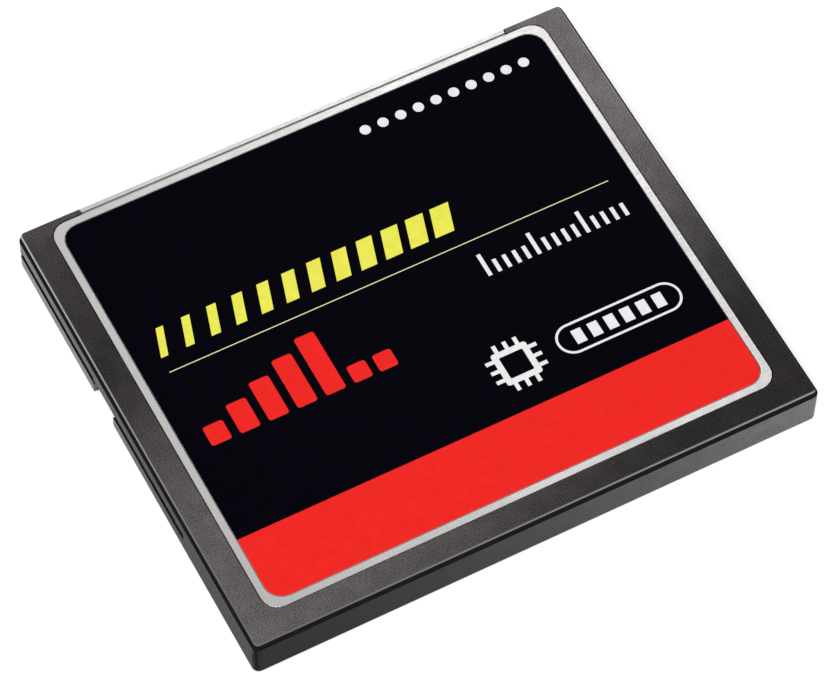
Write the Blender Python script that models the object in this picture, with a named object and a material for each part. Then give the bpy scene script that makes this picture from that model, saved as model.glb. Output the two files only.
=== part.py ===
"""Compact flash card: a moulded frame, two pressed steel covers, a printed label, and a two-row
socket on a small circuit board with its chips.

Lengths are in metres. X runs across the card, +Y points to the socket end and +Z is up through the
label. The origin is the centre of the card's underside.
"""

import math
from dataclasses import dataclass

import bmesh
import bpy
from mathutils import Vector
from mathutils.geometry import delaunay_2d_cdt

MM = 0.001

# Card envelope, a standard size
CARD_WIDTH = 42.8 * MM
CARD_LENGTH = 36.4 * MM
CARD_THICKNESS = 3.3 * MM
CARD_CORNER = 0.5 * MM

# Clearances
SEAM = 0.05 * MM
SEAT_GAP = 0.02 * MM
BOARD_EDGE_GAP = 0.15 * MM

# Frame: edge form, width of its visible rim on each side, and what it carries inside
CHAMFER_INSET = 0.22 * MM
CHAMFER_DROP = 0.48 * MM
CREST_ROUND = 0.07 * MM
BOTTOM_BREAK = 0.05 * MM
SOCKET_EDGE_SHARE = 0.45
SIDE_RIM = 2.07 * MM
NEAR_RIM = 2.02 * MM
SOCKET_RIM = 0.55 * MM
RIB_WIDTH = 1.05 * MM
RIB_HEIGHT = 0.53 * MM
WINDOW_CORNER = 2.5 * MM
BLOCK_LENGTH = 5.25 * MM
PEG_RADIUS = 0.35 * MM
PEG_INSET = 1.4 * MM
PEG_RISE = 0.2 * MM

# Guide grooves and notches on the two sides, a standard pattern that keys the card
GROOVE_LENGTH = 25.78 * MM
GROOVE_DEPTH = 0.57 * MM
GROOVE_FLOOR = 0.99 * MM
LEFT_GROOVE_HEIGHT = 0.63 * MM
RIGHT_GROOVE_HEIGHT = 1.01 * MM
NOTCH_START = 12.0 * MM
NOTCH_LENGTH = 3.0 * MM
NOTCH_CORNER = 0.3 * MM

# Covers, pressed from sheet
SHEET = 0.2 * MM
COVER_SINK = 0.02 * MM
COVER_CORNER = 1.25 * MM
PRESS_CORNER = 1.3 * MM
COVER_EDGE_BREAK = 0.05 * MM
RIM_WIDTH = 0.6 * MM
PRESS_DEPTH = 0.1 * MM
PRESS_DRAFT = 0.05 * MM
LOWER_FLANGE_DEPTH = 0.75 * MM
LIP_DROP = 0.08 * MM
LIP_GROOVE_WIDTH = 0.13 * MM
LIP_GROOVE_DEPTH = 0.21 * MM
LIP_SETBACK = 0.05 * MM
LIP_DRAFT = 0.04 * MM
CATCH_DEPTH = 0.33 * MM
CATCH_HEIGHT = 0.3 * MM
CATCH_PROUD = 0.12 * MM
CATCH_LENGTH = 2.0 * MM
SIDE_CATCH_SPACING = 14.0 * MM
NEAR_CATCH_SPACING = 20.0 * MM

# Label
LABEL_GAP = 0.02 * MM
LABEL_THICKNESS = 0.07 * MM

# Printed fields and simple shapes on the label, placed from its edges
PRINT_MARGIN = 1.75 * MM
BAND_HEIGHT = 5.24 * MM
RULE_FROM_FAR = 13.68 * MM
RULE_THICKNESS = 0.06 * MM
DASH_COUNT = 12
DASH_LENGTH = 23.2 * MM
DASH_HEIGHT = 2.3 * MM
DASH_LEAN = 0.7 * MM
DASH_RISE = 1.3 * MM
DASH_THIN = 0.55 * MM
DASH_THICK = 1.45 * MM
GAUGE_BARS = 5
GAUGE_PITCH = 2.15 * MM
GAUGE_BAR_WIDTH = 1.5 * MM
GAUGE_LOW = 1.6 * MM
GAUGE_HIGH = 5.0 * MM
GAUGE_DROP = 6.5 * MM
UNIT_SIDE = 1.4 * MM
UNIT_PITCH = 1.95 * MM
TICK_COUNT = 15
TICK_PITCH = 0.77 * MM
TICK_WIDTH = 0.3 * MM
TICK_SHORT = 1.1 * MM
TICK_LONG = 1.9 * MM
TICK_DROP = 3.1 * MM
DOT_COUNT = 10
DOT_PITCH = 1.4 * MM
DOT_RADIUS = 0.4 * MM
DOT_FROM_FAR = 2.1 * MM
BADGE_RISE = 3.53 * MM
BADGE_LENGTH = 9.6 * MM
BADGE_HEIGHT = 2.43 * MM
BADGE_LINE = 0.18 * MM
BADGE_BARS = 6
BADGE_BAR_PITCH = 1.25 * MM
BADGE_BAR_LENGTH = 0.75 * MM
BADGE_BAR_HEIGHT = 1.15 * MM
GLYPH_SIDE = 2.7 * MM
GLYPH_LINE = 0.45 * MM
GLYPH_PINS = 3
GLYPH_PIN_PITCH = 0.8 * MM
GLYPH_PIN_WIDTH = 0.3 * MM
GLYPH_PIN_LENGTH = 0.6 * MM
GLYPH_TO_BADGE = 1.8 * MM
PRINT_CORNER = 0.2 * MM

# Socket: two rows of contacts in one housing, between the frame's two ears
EAR_WIDTH = 4.7 * MM
CONTACT_PITCH = 1.27 * MM
ROW_SPACING = 1.27 * MM
HOUSING_HEIGHT = 2.44 * MM
HOUSING_LENGTH = 5.0 * MM
HOUSING_END_WALL = 1.385 * MM
HOUSING_SHOULDER = 1.25 * MM
ARM_WIDTH = 1.3 * MM
ARM_LENGTH = 2.1 * MM
ARM_HEIGHT = 1.8 * MM
ARM_GAP = 0.1 * MM
CAVITY_SIDE = 0.7 * MM
CAVITY_MOUTH = 0.92 * MM
CAVITY_LEAD_IN = 0.18 * MM
CAVITY_DEPTH = 3.6 * MM
CONTACT_WIDTH = 0.32 * MM
CONTACT_THICKNESS = 0.12 * MM
CONTACT_OFFSET = 0.2 * MM
CONTACT_TIP_SETBACK = 0.7 * MM
TAIL_LENGTH = 1.6 * MM
TAIL_BEND = 0.5 * MM

# Circuit board and the chips on it
BOARD_THICKNESS = 0.6 * MM
BOARD_HOLE_GAP = 0.06 * MM
PACKAGE_EDGE = 0.06 * MM
MARK_RADIUS = 0.4 * MM
MARK_DEPTH = 0.05 * MM
MARK_INSET = 1.1 * MM
SIDE_STRIP = 6.0 * MM
SERVICE_STRIP = 4.7 * MM
PACKAGE_GAP = 2.4 * MM
FLASH_FROM_NEAR = 1.8 * MM
FLASH_HEIGHT = 0.9 * MM
CONTROLLER_SIDE = 10.0 * MM
CONTROLLER_HEIGHT = 0.85 * MM
CONTROLLER_STANDOFF = 0.08 * MM
CONTROLLER_DRAFT = 0.12 * MM
CONTROLLER_LEADS = 16
LEAD_PITCH = 0.5 * MM
LEAD_WIDTH = 0.22 * MM
LEAD_THICKNESS = 0.12 * MM
LEAD_SHOULDER = 0.25 * MM
LEAD_SLOPE = 0.2 * MM
LEAD_FOOT = 0.45 * MM
LEAD_ROOT = 0.3 * MM
REGULATOR_LENGTH = 2.9 * MM
REGULATOR_WIDTH = 1.6 * MM
REGULATOR_PITCH = 0.95 * MM
REGULATOR_LEAD_WIDTH = 0.4 * MM
REGULATOR_LEADS = 3
CRYSTAL_LENGTH = 3.2 * MM
CRYSTAL_WIDTH = 2.5 * MM
CRYSTAL_BASE_HEIGHT = 0.4 * MM
CRYSTAL_HEIGHT = 0.75 * MM
CRYSTAL_LID_INSET = 0.2 * MM
CRYSTAL_CORNER = 0.35 * MM
CAPACITOR_LENGTH = 1.6 * MM
CAPACITOR_WIDTH = 0.8 * MM
CAPACITOR_HEIGHT = 0.8 * MM
CAPACITOR_CAP = 0.35 * MM
CAPACITOR_CAP_PROUD = 0.03 * MM
ARRAY_ELEMENTS = 4
ARRAY_PITCH = 0.5 * MM
ARRAY_WIDTH = 1.0 * MM
ARRAY_HEIGHT = 0.45 * MM
ARRAY_NOTCH_WIDTH = 0.2 * MM
ARRAY_NOTCH_DEPTH = 0.15 * MM
ARRAYS_PER_SIDE = 4
ARRAY_TO_TAILS = 2.6 * MM

# Resolution of curves and shading, and how far a cutter passes through
CORNER_STEPS = 5
SMALL_CORNER_STEPS = 2
PEG_SIDES = 12
DOT_SIDES = 8
CREST_STEPS = 2
SHARP_ANGLE = math.radians(25)
PRINT_WELD = 1e-5
PASS = 1.0 * MM

# Places that follow from the sizes above
MID_HEIGHT = CARD_THICKNESS / 2
SOCKET_END = CARD_LENGTH / 2
NEAR_END = -CARD_LENGTH / 2
EAR_BACK = SOCKET_END - SOCKET_RIM + SEAM
HOUSING_FRONT = EAR_BACK - SEAM
HOUSING_REAR = SOCKET_END - HOUSING_LENGTH
BLOCK_REAR = SOCKET_END - BLOCK_LENGTH
CONTACT_COLUMNS = int((CARD_WIDTH - 2 * EAR_WIDTH - 2 * HOUSING_END_WALL) / CONTACT_PITCH) + 1
CONTACT_SPAN = (CONTACT_COLUMNS - 1) * CONTACT_PITCH
NOSE_HALF = CONTACT_SPAN / 2 + HOUSING_END_WALL
HOUSING_HALF = NOSE_HALF + HOUSING_SHOULDER
ARM_INNER = HOUSING_HALF - ARM_WIDTH
ARM_REAR = HOUSING_REAR - ARM_LENGTH
TAIL_END = HOUSING_REAR - TAIL_LENGTH
BOARD_TOP = MID_HEIGHT + BOARD_THICKNESS / 2
BOARD_BOTTOM = MID_HEIGHT - BOARD_THICKNESS / 2
UPPER_FLANGE_DEPTH = CARD_THICKNESS - BOARD_TOP - SEAM
PLATE_DEPTH = COVER_SINK + SHEET
PAD_DEPTH = PLATE_DEPTH + PRESS_DEPTH
HOUSING_DEPTH = (CARD_THICKNESS - HOUSING_HEIGHT) / 2


@dataclass(frozen=True)
class Field:
    """A rectangle with round corners, seen from above."""

    left: float
    right: float
    near: float
    far: float
    radius: float = 0.0

    def grown(self, by):
        """The same field with every edge moved outwards."""
        radius = max(self.radius + by, 0.0) if self.radius else 0.0
        return Field(self.left - by, self.right + by, self.near - by, self.far + by, radius)

    def cornered(self, radius):
        """The same field with corners of another radius."""
        return Field(self.left, self.right, self.near, self.far, radius)

    def points(self, steps=CORNER_STEPS):
        """Outline points, anticlockwise from the right-hand side of the far edge."""
        if not self.radius:
            return [(self.right, self.far), (self.left, self.far),
                    (self.left, self.near), (self.right, self.near)]
        inner = (self.left + self.radius, self.right - self.radius,
                 self.near + self.radius, self.far - self.radius)
        centres = ((inner[1], inner[3]), (inner[0], inner[3]), (inner[0], inner[2]), (inner[1], inner[2]))
        outline = []
        for quarter, (x, y) in enumerate(centres):
            for step in range(steps + 1):
                angle = math.pi / 2 * (quarter + step / steps)
                outline.append((x + self.radius * math.cos(angle), y + self.radius * math.sin(angle)))
        return outline

    def near_points(self):
        """The half of the outline round its two near corners, left then right."""
        outline = self.points()
        return outline[len(outline) // 2:]

    def ended_at(self, far):
        """Outline with the field's near corners, ended square at another far edge."""
        return self.near_points() + [(self.right, far), (self.left, far)]


CARD_FIELD = Field(-CARD_WIDTH / 2, CARD_WIDTH / 2, NEAR_END, SOCKET_END, CARD_CORNER)
COVER_FIELD = Field(-CARD_WIDTH / 2 + SIDE_RIM, CARD_WIDTH / 2 - SIDE_RIM,
                    NEAR_END + NEAR_RIM, SOCKET_END - SOCKET_RIM, COVER_CORNER)
PRESS_FIELD = COVER_FIELD.grown(-RIM_WIDTH).cornered(PRESS_CORNER)
PAD_FIELD = PRESS_FIELD.grown(SHEET / 2)
LABEL_FIELD = PRESS_FIELD.grown(-LABEL_GAP)
POCKET_FIELD = COVER_FIELD.grown(SEAM)
BOARD_FIELD = POCKET_FIELD.grown(-BOARD_EDGE_GAP)

# Board plan: packages in two bays between strips at the sides, a strip of small parts, then arrays
ARRAY_ROW = TAIL_END - ARRAY_TO_TAILS
ARRAY_SPACING = CONTACT_SPAN / ARRAYS_PER_SIDE
FLASH_NEAR = BOARD_FIELD.near + FLASH_FROM_NEAR
FLASH_FAR = ARRAY_ROW - ARRAY_WIDTH / 2 - SERVICE_STRIP
FLASH_LENGTH = FLASH_FAR - FLASH_NEAR
FLASH_ROW = (FLASH_NEAR + FLASH_FAR) / 2
FLASH_WIDTH = (BOARD_FIELD.right - BOARD_FIELD.left - 2 * SIDE_STRIP - PACKAGE_GAP) / 2
BAY_CENTRE = (FLASH_WIDTH + PACKAGE_GAP) / 2
STRIP_CENTRE = BOARD_FIELD.right - SIDE_STRIP / 2
SERVICE_ROW = FLASH_FAR + SERVICE_STRIP / 2


def clear_scene():
    """Remove every object that the file opened with."""
    for item in list(bpy.data.objects):
        bpy.data.objects.remove(item, do_unlink=True)


def finish(name, colour, roughness, metallic=0.0):
    """Make a Principled material."""
    material = bpy.data.materials.new(name)
    material.use_nodes = True
    shader = material.node_tree.nodes["Principled BSDF"]
    shader.inputs["Base Color"].default_value = (*colour, 1.0)
    shader.inputs["Roughness"].default_value = roughness
    shader.inputs["Metallic"].default_value = metallic
    material.diffuse_color = (*colour, 1.0)
    return material


def solid(name, shape):
    """Turn a bmesh into an object whose faces point outwards."""
    bmesh.ops.recalc_face_normals(shape, faces=shape.faces)
    mesh = bpy.data.meshes.new(name)
    shape.to_mesh(mesh)
    shape.free()
    item = bpy.data.objects.new(name, mesh)
    bpy.context.collection.objects.link(item)
    return item


def add_loft(shape, rings):
    """Add to a bmesh a closed solid that passes through rings with equal numbers of points."""
    loops = [[shape.verts.new(point) for point in ring] for ring in rings]
    for lower, upper in zip(loops, loops[1:]):
        for index, corner in enumerate(lower):
            following = (index + 1) % len(lower)
            shape.faces.new((corner, lower[following], upper[following], upper[index]))
    shape.faces.new(list(reversed(loops[0])))
    shape.faces.new(loops[-1])


def loft(name, rings):
    """One solid through a list of rings."""
    shape = bmesh.new()
    add_loft(shape, rings)
    return solid(name, shape)


def at_height(outline, height):
    """Points of a plan outline, lifted to a height."""
    return [(x, y, height) for x, y in outline]


def prism(name, outline, low, high):
    """A plan outline pulled up from one height to another."""
    return loft(name, [at_height(outline, low), at_height(outline, high)])


def box(name, field, low, high):
    """A plain block over a field."""
    return prism(name, field.points(), low, high)


def bar_along_x(name, profile, half_length):
    """A profile of (y, z) points pulled out both ways along X."""
    return loft(name, [[(side * half_length, y, z) for y, z in profile] for side in (-1, 1)])


def combine(body, tools, operation):
    """Join tools to a body, or cut them out of it, and remove them."""
    for tool in tools:
        step = body.modifiers.new(tool.name, "BOOLEAN")
        step.operation = operation
        step.solver = "EXACT"
        step.object = tool
    graph = bpy.context.evaluated_depsgraph_get()
    result = bpy.data.meshes.new_from_object(body.evaluated_get(graph))
    body.modifiers.clear()
    body.data = result
    body.data.name = body.name
    for tool in tools:
        bpy.data.objects.remove(tool, do_unlink=True)
    return body


def join(body, *tools):
    """Weld tools to a body."""
    return combine(body, tools, "UNION")


def carve(body, *tools):
    """Cut tools out of a body."""
    return combine(body, tools, "DIFFERENCE")


def dress(item, *materials):
    """Give an object its materials and smooth shading between its sharp edges."""
    for material in materials:
        item.data.materials.append(material)
    item.data.shade_smooth()
    item.data.set_sharp_from_angle(angle=SHARP_ANGLE)
    return item


def edge_profile():
    """Pairs of inset and height up the frame's outer edge, with a small round at its crest."""
    slope = math.hypot(CHAMFER_INSET, CHAMFER_DROP)
    corner = Vector((CHAMFER_INSET, CARD_THICKNESS))
    start = corner - Vector((CHAMFER_INSET, CHAMFER_DROP)) * (CREST_ROUND / slope)
    end = corner + Vector((CREST_ROUND, 0.0))
    profile = [(BOTTOM_BREAK, 0.0), (0.0, BOTTOM_BREAK), (0.0, CARD_THICKNESS - CHAMFER_DROP)]
    for step in range(CREST_STEPS + 1):
        share = step / CREST_STEPS
        point = start.lerp(corner, share).lerp(corner.lerp(end, share), share)
        profile.append((point.x, point.y))
    return profile


def edge_outline(inset):
    """Outline of the card at an inset of its edge form, which is shallow at the socket end."""
    field = CARD_FIELD.grown(-inset)
    far = SOCKET_END - inset * SOCKET_EDGE_SHARE
    return Field(field.left, field.right, field.near, far, field.radius).points()


def groove_cutter(side, height):
    """Cutter for one guide groove, open at the socket end; side is -1 on the left, 1 on the right."""
    floor_x = side * (CARD_WIDTH / 2 - GROOVE_DEPTH)
    outside_x = side * (CARD_WIDTH / 2 + PASS)
    field = Field(min(floor_x, outside_x), max(floor_x, outside_x),
                  SOCKET_END - GROOVE_LENGTH, SOCKET_END + PASS)
    return box("groove", field, GROOVE_FLOOR, GROOVE_FLOOR + height)


def notch_cutter(side):
    """Cutter for the notch that opens one guide groove to the underside."""
    floor_x = side * (CARD_WIDTH / 2 - GROOVE_DEPTH)
    outside_x = side * (CARD_WIDTH / 2 + PASS)
    far = SOCKET_END - NOTCH_START
    field = Field(min(floor_x, outside_x), max(floor_x, outside_x), far - NOTCH_LENGTH, far, NOTCH_CORNER)
    return box("notch", field, -PASS, GROOVE_FLOOR + LEFT_GROOVE_HEIGHT / 2)


def catch_places():
    """Centre and outward direction, in plan, of each catch on a cover's flange."""
    middle = (COVER_FIELD.near + BLOCK_REAR) / 2
    places = []
    for step in (-0.5, 0.5):
        along = middle + step * SIDE_CATCH_SPACING
        places.append((Vector((COVER_FIELD.left, along)), Vector((-1, 0))))
        places.append((Vector((COVER_FIELD.right, along)), Vector((1, 0))))
        places.append((Vector((step * NEAR_CATCH_SPACING, COVER_FIELD.near)), Vector((0, -1))))
    return places


def catch_wedge(name, place, outward, margin, face, inwards):
    """Wedge of one catch, or with a margin its pocket in the frame.

    face is the height of the card's face that the cover lies in, and inwards is -1 from the top face
    and 1 from the underside.
    """
    upper = face + inwards * (CATCH_DEPTH - margin)
    lower = face + inwards * (CATCH_DEPTH + CATCH_HEIGHT + margin)
    root = -SHEET / 2
    proud = CATCH_PROUD + margin
    along = Vector((-outward.y, outward.x)) * (CATCH_LENGTH / 2 + margin)
    toe = proud if margin else 0.0
    section = [(root, upper), (proud, upper), (toe, lower), (root, lower)]
    rings = []
    for side in (-1, 1):
        rings.append([(*(place + outward * out + along * side), height) for out, height in section])
    return loft(name, rings)


def build_frame(material):
    """U-shaped moulding: rim, ears, guide grooves, board ribs and pegs, and seats for the covers."""
    frame = loft("frame", [at_height(edge_outline(inset), height) for inset, height in edge_profile()])
    flange_pocket = POCKET_FIELD.ended_at(BLOCK_REAR)
    window = Field(POCKET_FIELD.left + RIB_WIDTH, POCKET_FIELD.right - RIB_WIDTH,
                   POCKET_FIELD.near + RIB_WIDTH, BLOCK_REAR, WINDOW_CORNER).ended_at(BLOCK_REAR)
    rib_top = BOARD_BOTTOM - SEAT_GAP
    bay_half = HOUSING_HALF + SEAM
    mouth_half = NOSE_HALF + SEAM
    cutters = [
        box("upper_seat", POCKET_FIELD, CARD_THICKNESS - PLATE_DEPTH - SEAT_GAP, CARD_THICKNESS + PASS),
        box("lower_seat", POCKET_FIELD, -PASS, PLATE_DEPTH + SEAT_GAP),
        box("upper_pad", PAD_FIELD.grown(SEAM), CARD_THICKNESS - PAD_DEPTH - SEAT_GAP, CARD_THICKNESS),
        box("lower_pad", PAD_FIELD.grown(SEAM), 0.0, PAD_DEPTH + SEAT_GAP),
        prism("board_pocket", flange_pocket, rib_top, CARD_THICKNESS),
        prism("lower_pocket", flange_pocket, 0.0, rib_top - RIB_HEIGHT),
        prism("window", window, 0.0, CARD_THICKNESS),
        box("socket_bay", Field(-bay_half, bay_half, BLOCK_REAR - PASS, EAR_BACK),
            -PASS, CARD_THICKNESS + PASS),
        box("socket_mouth", Field(-mouth_half, mouth_half, EAR_BACK - PASS, SOCKET_END + PASS),
            -PASS, CARD_THICKNESS + PASS),
        groove_cutter(-1, LEFT_GROOVE_HEIGHT),
        groove_cutter(1, RIGHT_GROOVE_HEIGHT),
        notch_cutter(-1),
        notch_cutter(1),
    ]
    for face, inwards in ((CARD_THICKNESS, -1), (0.0, 1)):
        for place, outward in catch_places():
            cutters.append(catch_wedge("catch_pocket", place, outward, SEAM, face, inwards))
    carve(frame, *cutters)
    pegs = [prism("peg", disc(x, y, PEG_RADIUS, PEG_SIDES), rib_top - RIB_HEIGHT / 2, BOARD_TOP + PEG_RISE)
            for x, y in peg_places()]
    return dress(join(frame, *pegs), material)


def disc(x, y, radius, sides):
    """Points of a regular outline round a centre."""
    turn = math.tau / sides
    return [(x + radius * math.cos(turn * step), y + radius * math.sin(turn * step))
            for step in range(sides)]


def peg_places():
    """Plan places of the two pegs that locate the board."""
    near = POCKET_FIELD.near + PEG_INSET
    return [(POCKET_FIELD.left + PEG_INSET, near), (POCKET_FIELD.right - PEG_INSET, near)]


def lip_profile():
    """(y, z) section of the sheet at the socket end: a pressed groove, then a step up to the lip."""
    groove_far = COVER_FIELD.far + LIP_GROOVE_WIDTH
    lip_end = SOCKET_END - LIP_SETBACK
    underside = HOUSING_DEPTH - SEAM
    return [
        (COVER_FIELD.far - SHEET, -LIP_GROOVE_DEPTH),
        (groove_far, -LIP_GROOVE_DEPTH),
        (groove_far + LIP_DRAFT, -LIP_DROP),
        (lip_end - LIP_DRAFT, -LIP_DROP),
        (lip_end, -LIP_DROP - LIP_DRAFT),
        (lip_end, -LIP_DROP - SHEET),
        (groove_far + LIP_DRAFT * 2, -LIP_DROP - SHEET),
        (groove_far, -underside),
        (COVER_FIELD.far - SHEET, -underside),
    ]


def build_cover(name, flange_depth, material):
    """Pressed cover, drawn face up with the card's face at height 0.

    The rim stands round a shallow pressed field, a flange turns in on three sides, and a stepped lip
    reaches between the frame's ears.
    """
    rim = -COVER_SINK
    broken = COVER_FIELD.grown(-COVER_EDGE_BREAK)
    cover = loft(name, [at_height(COVER_FIELD.points(), -flange_depth),
                        at_height(COVER_FIELD.points(), rim - COVER_EDGE_BREAK),
                        at_height(broken.points(), rim)])
    hollow = box("hollow", COVER_FIELD.grown(-SHEET), -flange_depth - PASS, -PLATE_DEPTH)
    open_end = Field(COVER_FIELD.left - PASS, COVER_FIELD.right + PASS,
                     BLOCK_REAR - SEAM, COVER_FIELD.far + PASS)
    carve(cover, hollow, box("open_end", open_end, -flange_depth - PASS, -PLATE_DEPTH))
    catches = [catch_wedge("catch", place, outward, 0.0, 0.0, -1) for place, outward in catch_places()]
    join(cover,
         box("pad", PAD_FIELD, -PAD_DEPTH, -PLATE_DEPTH + SHEET / 4),
         bar_along_x("lip", lip_profile(), NOSE_HALF - SEAM / 2),
         *catches)
    outline = PRESS_FIELD
    drafted = outline.grown(PRESS_DRAFT * 2)
    carve(cover, loft("press", [at_height(outline.points(), rim - PRESS_DEPTH),
                                at_height(drafted.points(), rim + PRESS_DEPTH)]))
    return dress(cover, material)


def parallelogram(left, low, width, height, lean):
    """Outline of a leaning bar."""
    high = low + height
    return [(left, low), (left + width, low), (left + width + lean, high), (left + lean, high)]


def title_dashes():
    """Leaning dashes above the rule that thicken from left to right."""
    left = LABEL_FIELD.left + PRINT_MARGIN
    low = LABEL_FIELD.far - RULE_FROM_FAR + DASH_RISE
    pitch = (DASH_LENGTH - DASH_LEAN - DASH_THICK) / (DASH_COUNT - 1)
    for index in range(DASH_COUNT):
        width = DASH_THIN + (DASH_THICK - DASH_THIN) * index / (DASH_COUNT - 1)
        yield parallelogram(left + index * pitch, low, width, DASH_HEIGHT, DASH_LEAN)


def gauge_bars():
    """Bars that rise from left to right below the rule, and two small squares after them."""
    left = LABEL_FIELD.left + PRINT_MARGIN
    low = LABEL_FIELD.far - RULE_FROM_FAR - GAUGE_DROP
    for index in range(GAUGE_BARS):
        height = GAUGE_LOW + (GAUGE_HIGH - GAUGE_LOW) * index / (GAUGE_BARS - 1)
        start = left + index * GAUGE_PITCH
        yield Field(start, start + GAUGE_BAR_WIDTH, low, low + height, PRINT_CORNER)
    for index in range(2):
        start = left + GAUGE_BARS * GAUGE_PITCH + index * UNIT_PITCH
        yield Field(start, start + UNIT_SIDE, low, low + UNIT_SIDE, PRINT_CORNER)


def scale_ticks():
    """Ruler ticks on the right below the rule, each fifth one long."""
    low = LABEL_FIELD.far - RULE_FROM_FAR - TICK_DROP
    right = LABEL_FIELD.right - PRINT_MARGIN
    for index in range(TICK_COUNT):
        height = TICK_LONG if (TICK_COUNT - 1 - index) % 5 == 0 else TICK_SHORT
        end = right - index * TICK_PITCH
        yield Field(end - TICK_WIDTH, end, low, low + height)


def corner_dots():
    """Row of dots near the far right corner."""
    right = LABEL_FIELD.right - PRINT_MARGIN - DOT_RADIUS
    for index in range(DOT_COUNT):
        yield disc(right - index * DOT_PITCH, LABEL_FIELD.far - DOT_FROM_FAR, DOT_RADIUS, DOT_SIDES)


def badge_field():
    """Outer edge of the plain oval badge above the band."""
    right = LABEL_FIELD.right - PRINT_MARGIN
    middle = LABEL_FIELD.near + BAND_HEIGHT + BADGE_RISE
    return Field(right - BADGE_LENGTH, right, middle - BADGE_HEIGHT / 2, middle + BADGE_HEIGHT / 2,
                 BADGE_HEIGHT / 2)


def badge_bars():
    """Short bars inside the badge."""
    badge = badge_field()
    middle = ((badge.left + badge.right) / 2, (badge.near + badge.far) / 2)
    for index in range(BADGE_BARS):
        x = middle[0] + (index - (BADGE_BARS - 1) / 2) * BADGE_BAR_PITCH
        yield Field(x - BADGE_BAR_LENGTH / 2, x + BADGE_BAR_LENGTH / 2,
                    middle[1] - BADGE_BAR_HEIGHT / 2, middle[1] + BADGE_BAR_HEIGHT / 2)


def glyph_fields():
    """Plain picture of a chip beside the badge: its pins, then its square."""
    badge = badge_field()
    half = GLYPH_SIDE / 2
    x = badge.left - GLYPH_TO_BADGE - half
    y = (badge.near + badge.far) / 2
    reach = half + GLYPH_PIN_LENGTH
    for index in range(GLYPH_PINS):
        offset = (index - (GLYPH_PINS - 1) / 2) * GLYPH_PIN_PITCH
        low = offset - GLYPH_PIN_WIDTH / 2
        high = offset + GLYPH_PIN_WIDTH / 2
        yield Field(x - reach, x + reach, y + low, y + high)
        yield Field(x + low, x + high, y - reach, y + reach)
    yield Field(x - half, x + half, y - half, y + half, PRINT_CORNER)


def print_shapes():
    """Every printed outline as (ink, points), drawn in order, later ones over earlier ones."""
    rule = LABEL_FIELD.far - RULE_FROM_FAR
    margin = LABEL_FIELD.grown(-PRINT_MARGIN)
    badge = badge_field()
    glyph = list(glyph_fields())
    shapes = [("white", Field(margin.left, margin.right, rule, rule + RULE_THICKNESS).points())]
    shapes += [("yellow", points) for points in title_dashes()]
    shapes += [("red", field.points(SMALL_CORNER_STEPS)) for field in gauge_bars()]
    shapes += [("white", field.points()) for field in scale_ticks()]
    shapes += [("white", points) for points in corner_dots()]
    shapes += [("white", badge.points()), ("black", badge.grown(-BADGE_LINE).points())]
    shapes += [("white", field.points()) for field in badge_bars()]
    shapes += [("white", field.points(SMALL_CORNER_STEPS)) for field in glyph]
    shapes += [("black", glyph[-1].grown(-GLYPH_LINE).points(SMALL_CORNER_STEPS))]
    return shapes


def holds(outline, x, y):
    """Whether an outline holds a point, by counting the edges to its right."""
    inside = False
    for (x0, y0), (x1, y1) in zip(outline, outline[1:] + outline[:1]):
        if (y0 > y) != (y1 > y) and x < x0 + (y - y0) * (x1 - x0) / (y1 - y0):
            inside = not inside
    return inside


def build_label(inks):
    """Thin label whose face is divided along its printed shapes, one material to each ink."""
    band_top = LABEL_FIELD.near + BAND_HEIGHT
    shapes = print_shapes()
    outlines = [LABEL_FIELD.points()] + [points for ink, points in shapes]
    outlines.append([(LABEL_FIELD.left, band_top), (LABEL_FIELD.right, band_top)])
    corners = []
    edges = []
    for outline in outlines:
        first = len(corners)
        corners += [Vector((x / MM, y / MM)) for x, y in outline]
        edges += [(first + step, first + (step + 1) % len(outline)) for step in range(len(outline))]
    flat, _, triangles, *_ = delaunay_2d_cdt(corners, edges, [], 0, PRINT_WELD)
    slots = list(inks)
    top = CARD_THICKNESS - COVER_SINK - PRESS_DEPTH + SEAT_GAP + LABEL_THICKNESS
    shape = bmesh.new()
    verts = [shape.verts.new((point.x * MM, point.y * MM, top)) for point in flat]
    for triangle in triangles:
        face = shape.faces.new([verts[index] for index in triangle])
        x, y, _ = face.calc_center_median()
        ink = "red" if y < band_top else "black"
        for name, points in shapes:
            if holds(points, x, y):
                ink = name
        face.material_index = slots.index(ink)
    rim = [edge for edge in shape.edges if edge.is_boundary]
    walls = bmesh.ops.extrude_edge_only(shape, edges=rim)["geom"]
    bmesh.ops.translate(shape, vec=(0, 0, -LABEL_THICKNESS),
                        verts=[part for part in walls if isinstance(part, bmesh.types.BMVert)])
    bmesh.ops.holes_fill(shape, edges=[edge for edge in shape.edges if edge.is_boundary])
    return dress(solid("front_label", shape), *inks.values())


def square_ring(x, y, z, side):
    """Corner points of an upright square whose face looks along Y."""
    return [(x + across, y, z + up) for across, up in centred(side, side).points()]


def contact_places():
    """Column centre and row direction of each contact; the row is 1 above the middle, -1 below."""
    for column in range(CONTACT_COLUMNS):
        x = (column - (CONTACT_COLUMNS - 1) / 2) * CONTACT_PITCH
        for row in (-1, 1):
            yield x, row


def cavity_cutter():
    """All contact cavities, each with a flared mouth."""
    flare = (CAVITY_MOUTH - CAVITY_SIDE) / CAVITY_LEAD_IN
    shape = bmesh.new()
    for x, row in contact_places():
        z = MID_HEIGHT + row * ROW_SPACING / 2
        add_loft(shape, [
            square_ring(x, SOCKET_END + SEAM, z, CAVITY_MOUTH + flare * SEAM),
            square_ring(x, SOCKET_END - CAVITY_LEAD_IN, z, CAVITY_SIDE),
            square_ring(x, SOCKET_END - CAVITY_DEPTH, z, CAVITY_SIDE),
        ])
    return solid("cavities", shape)


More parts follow.
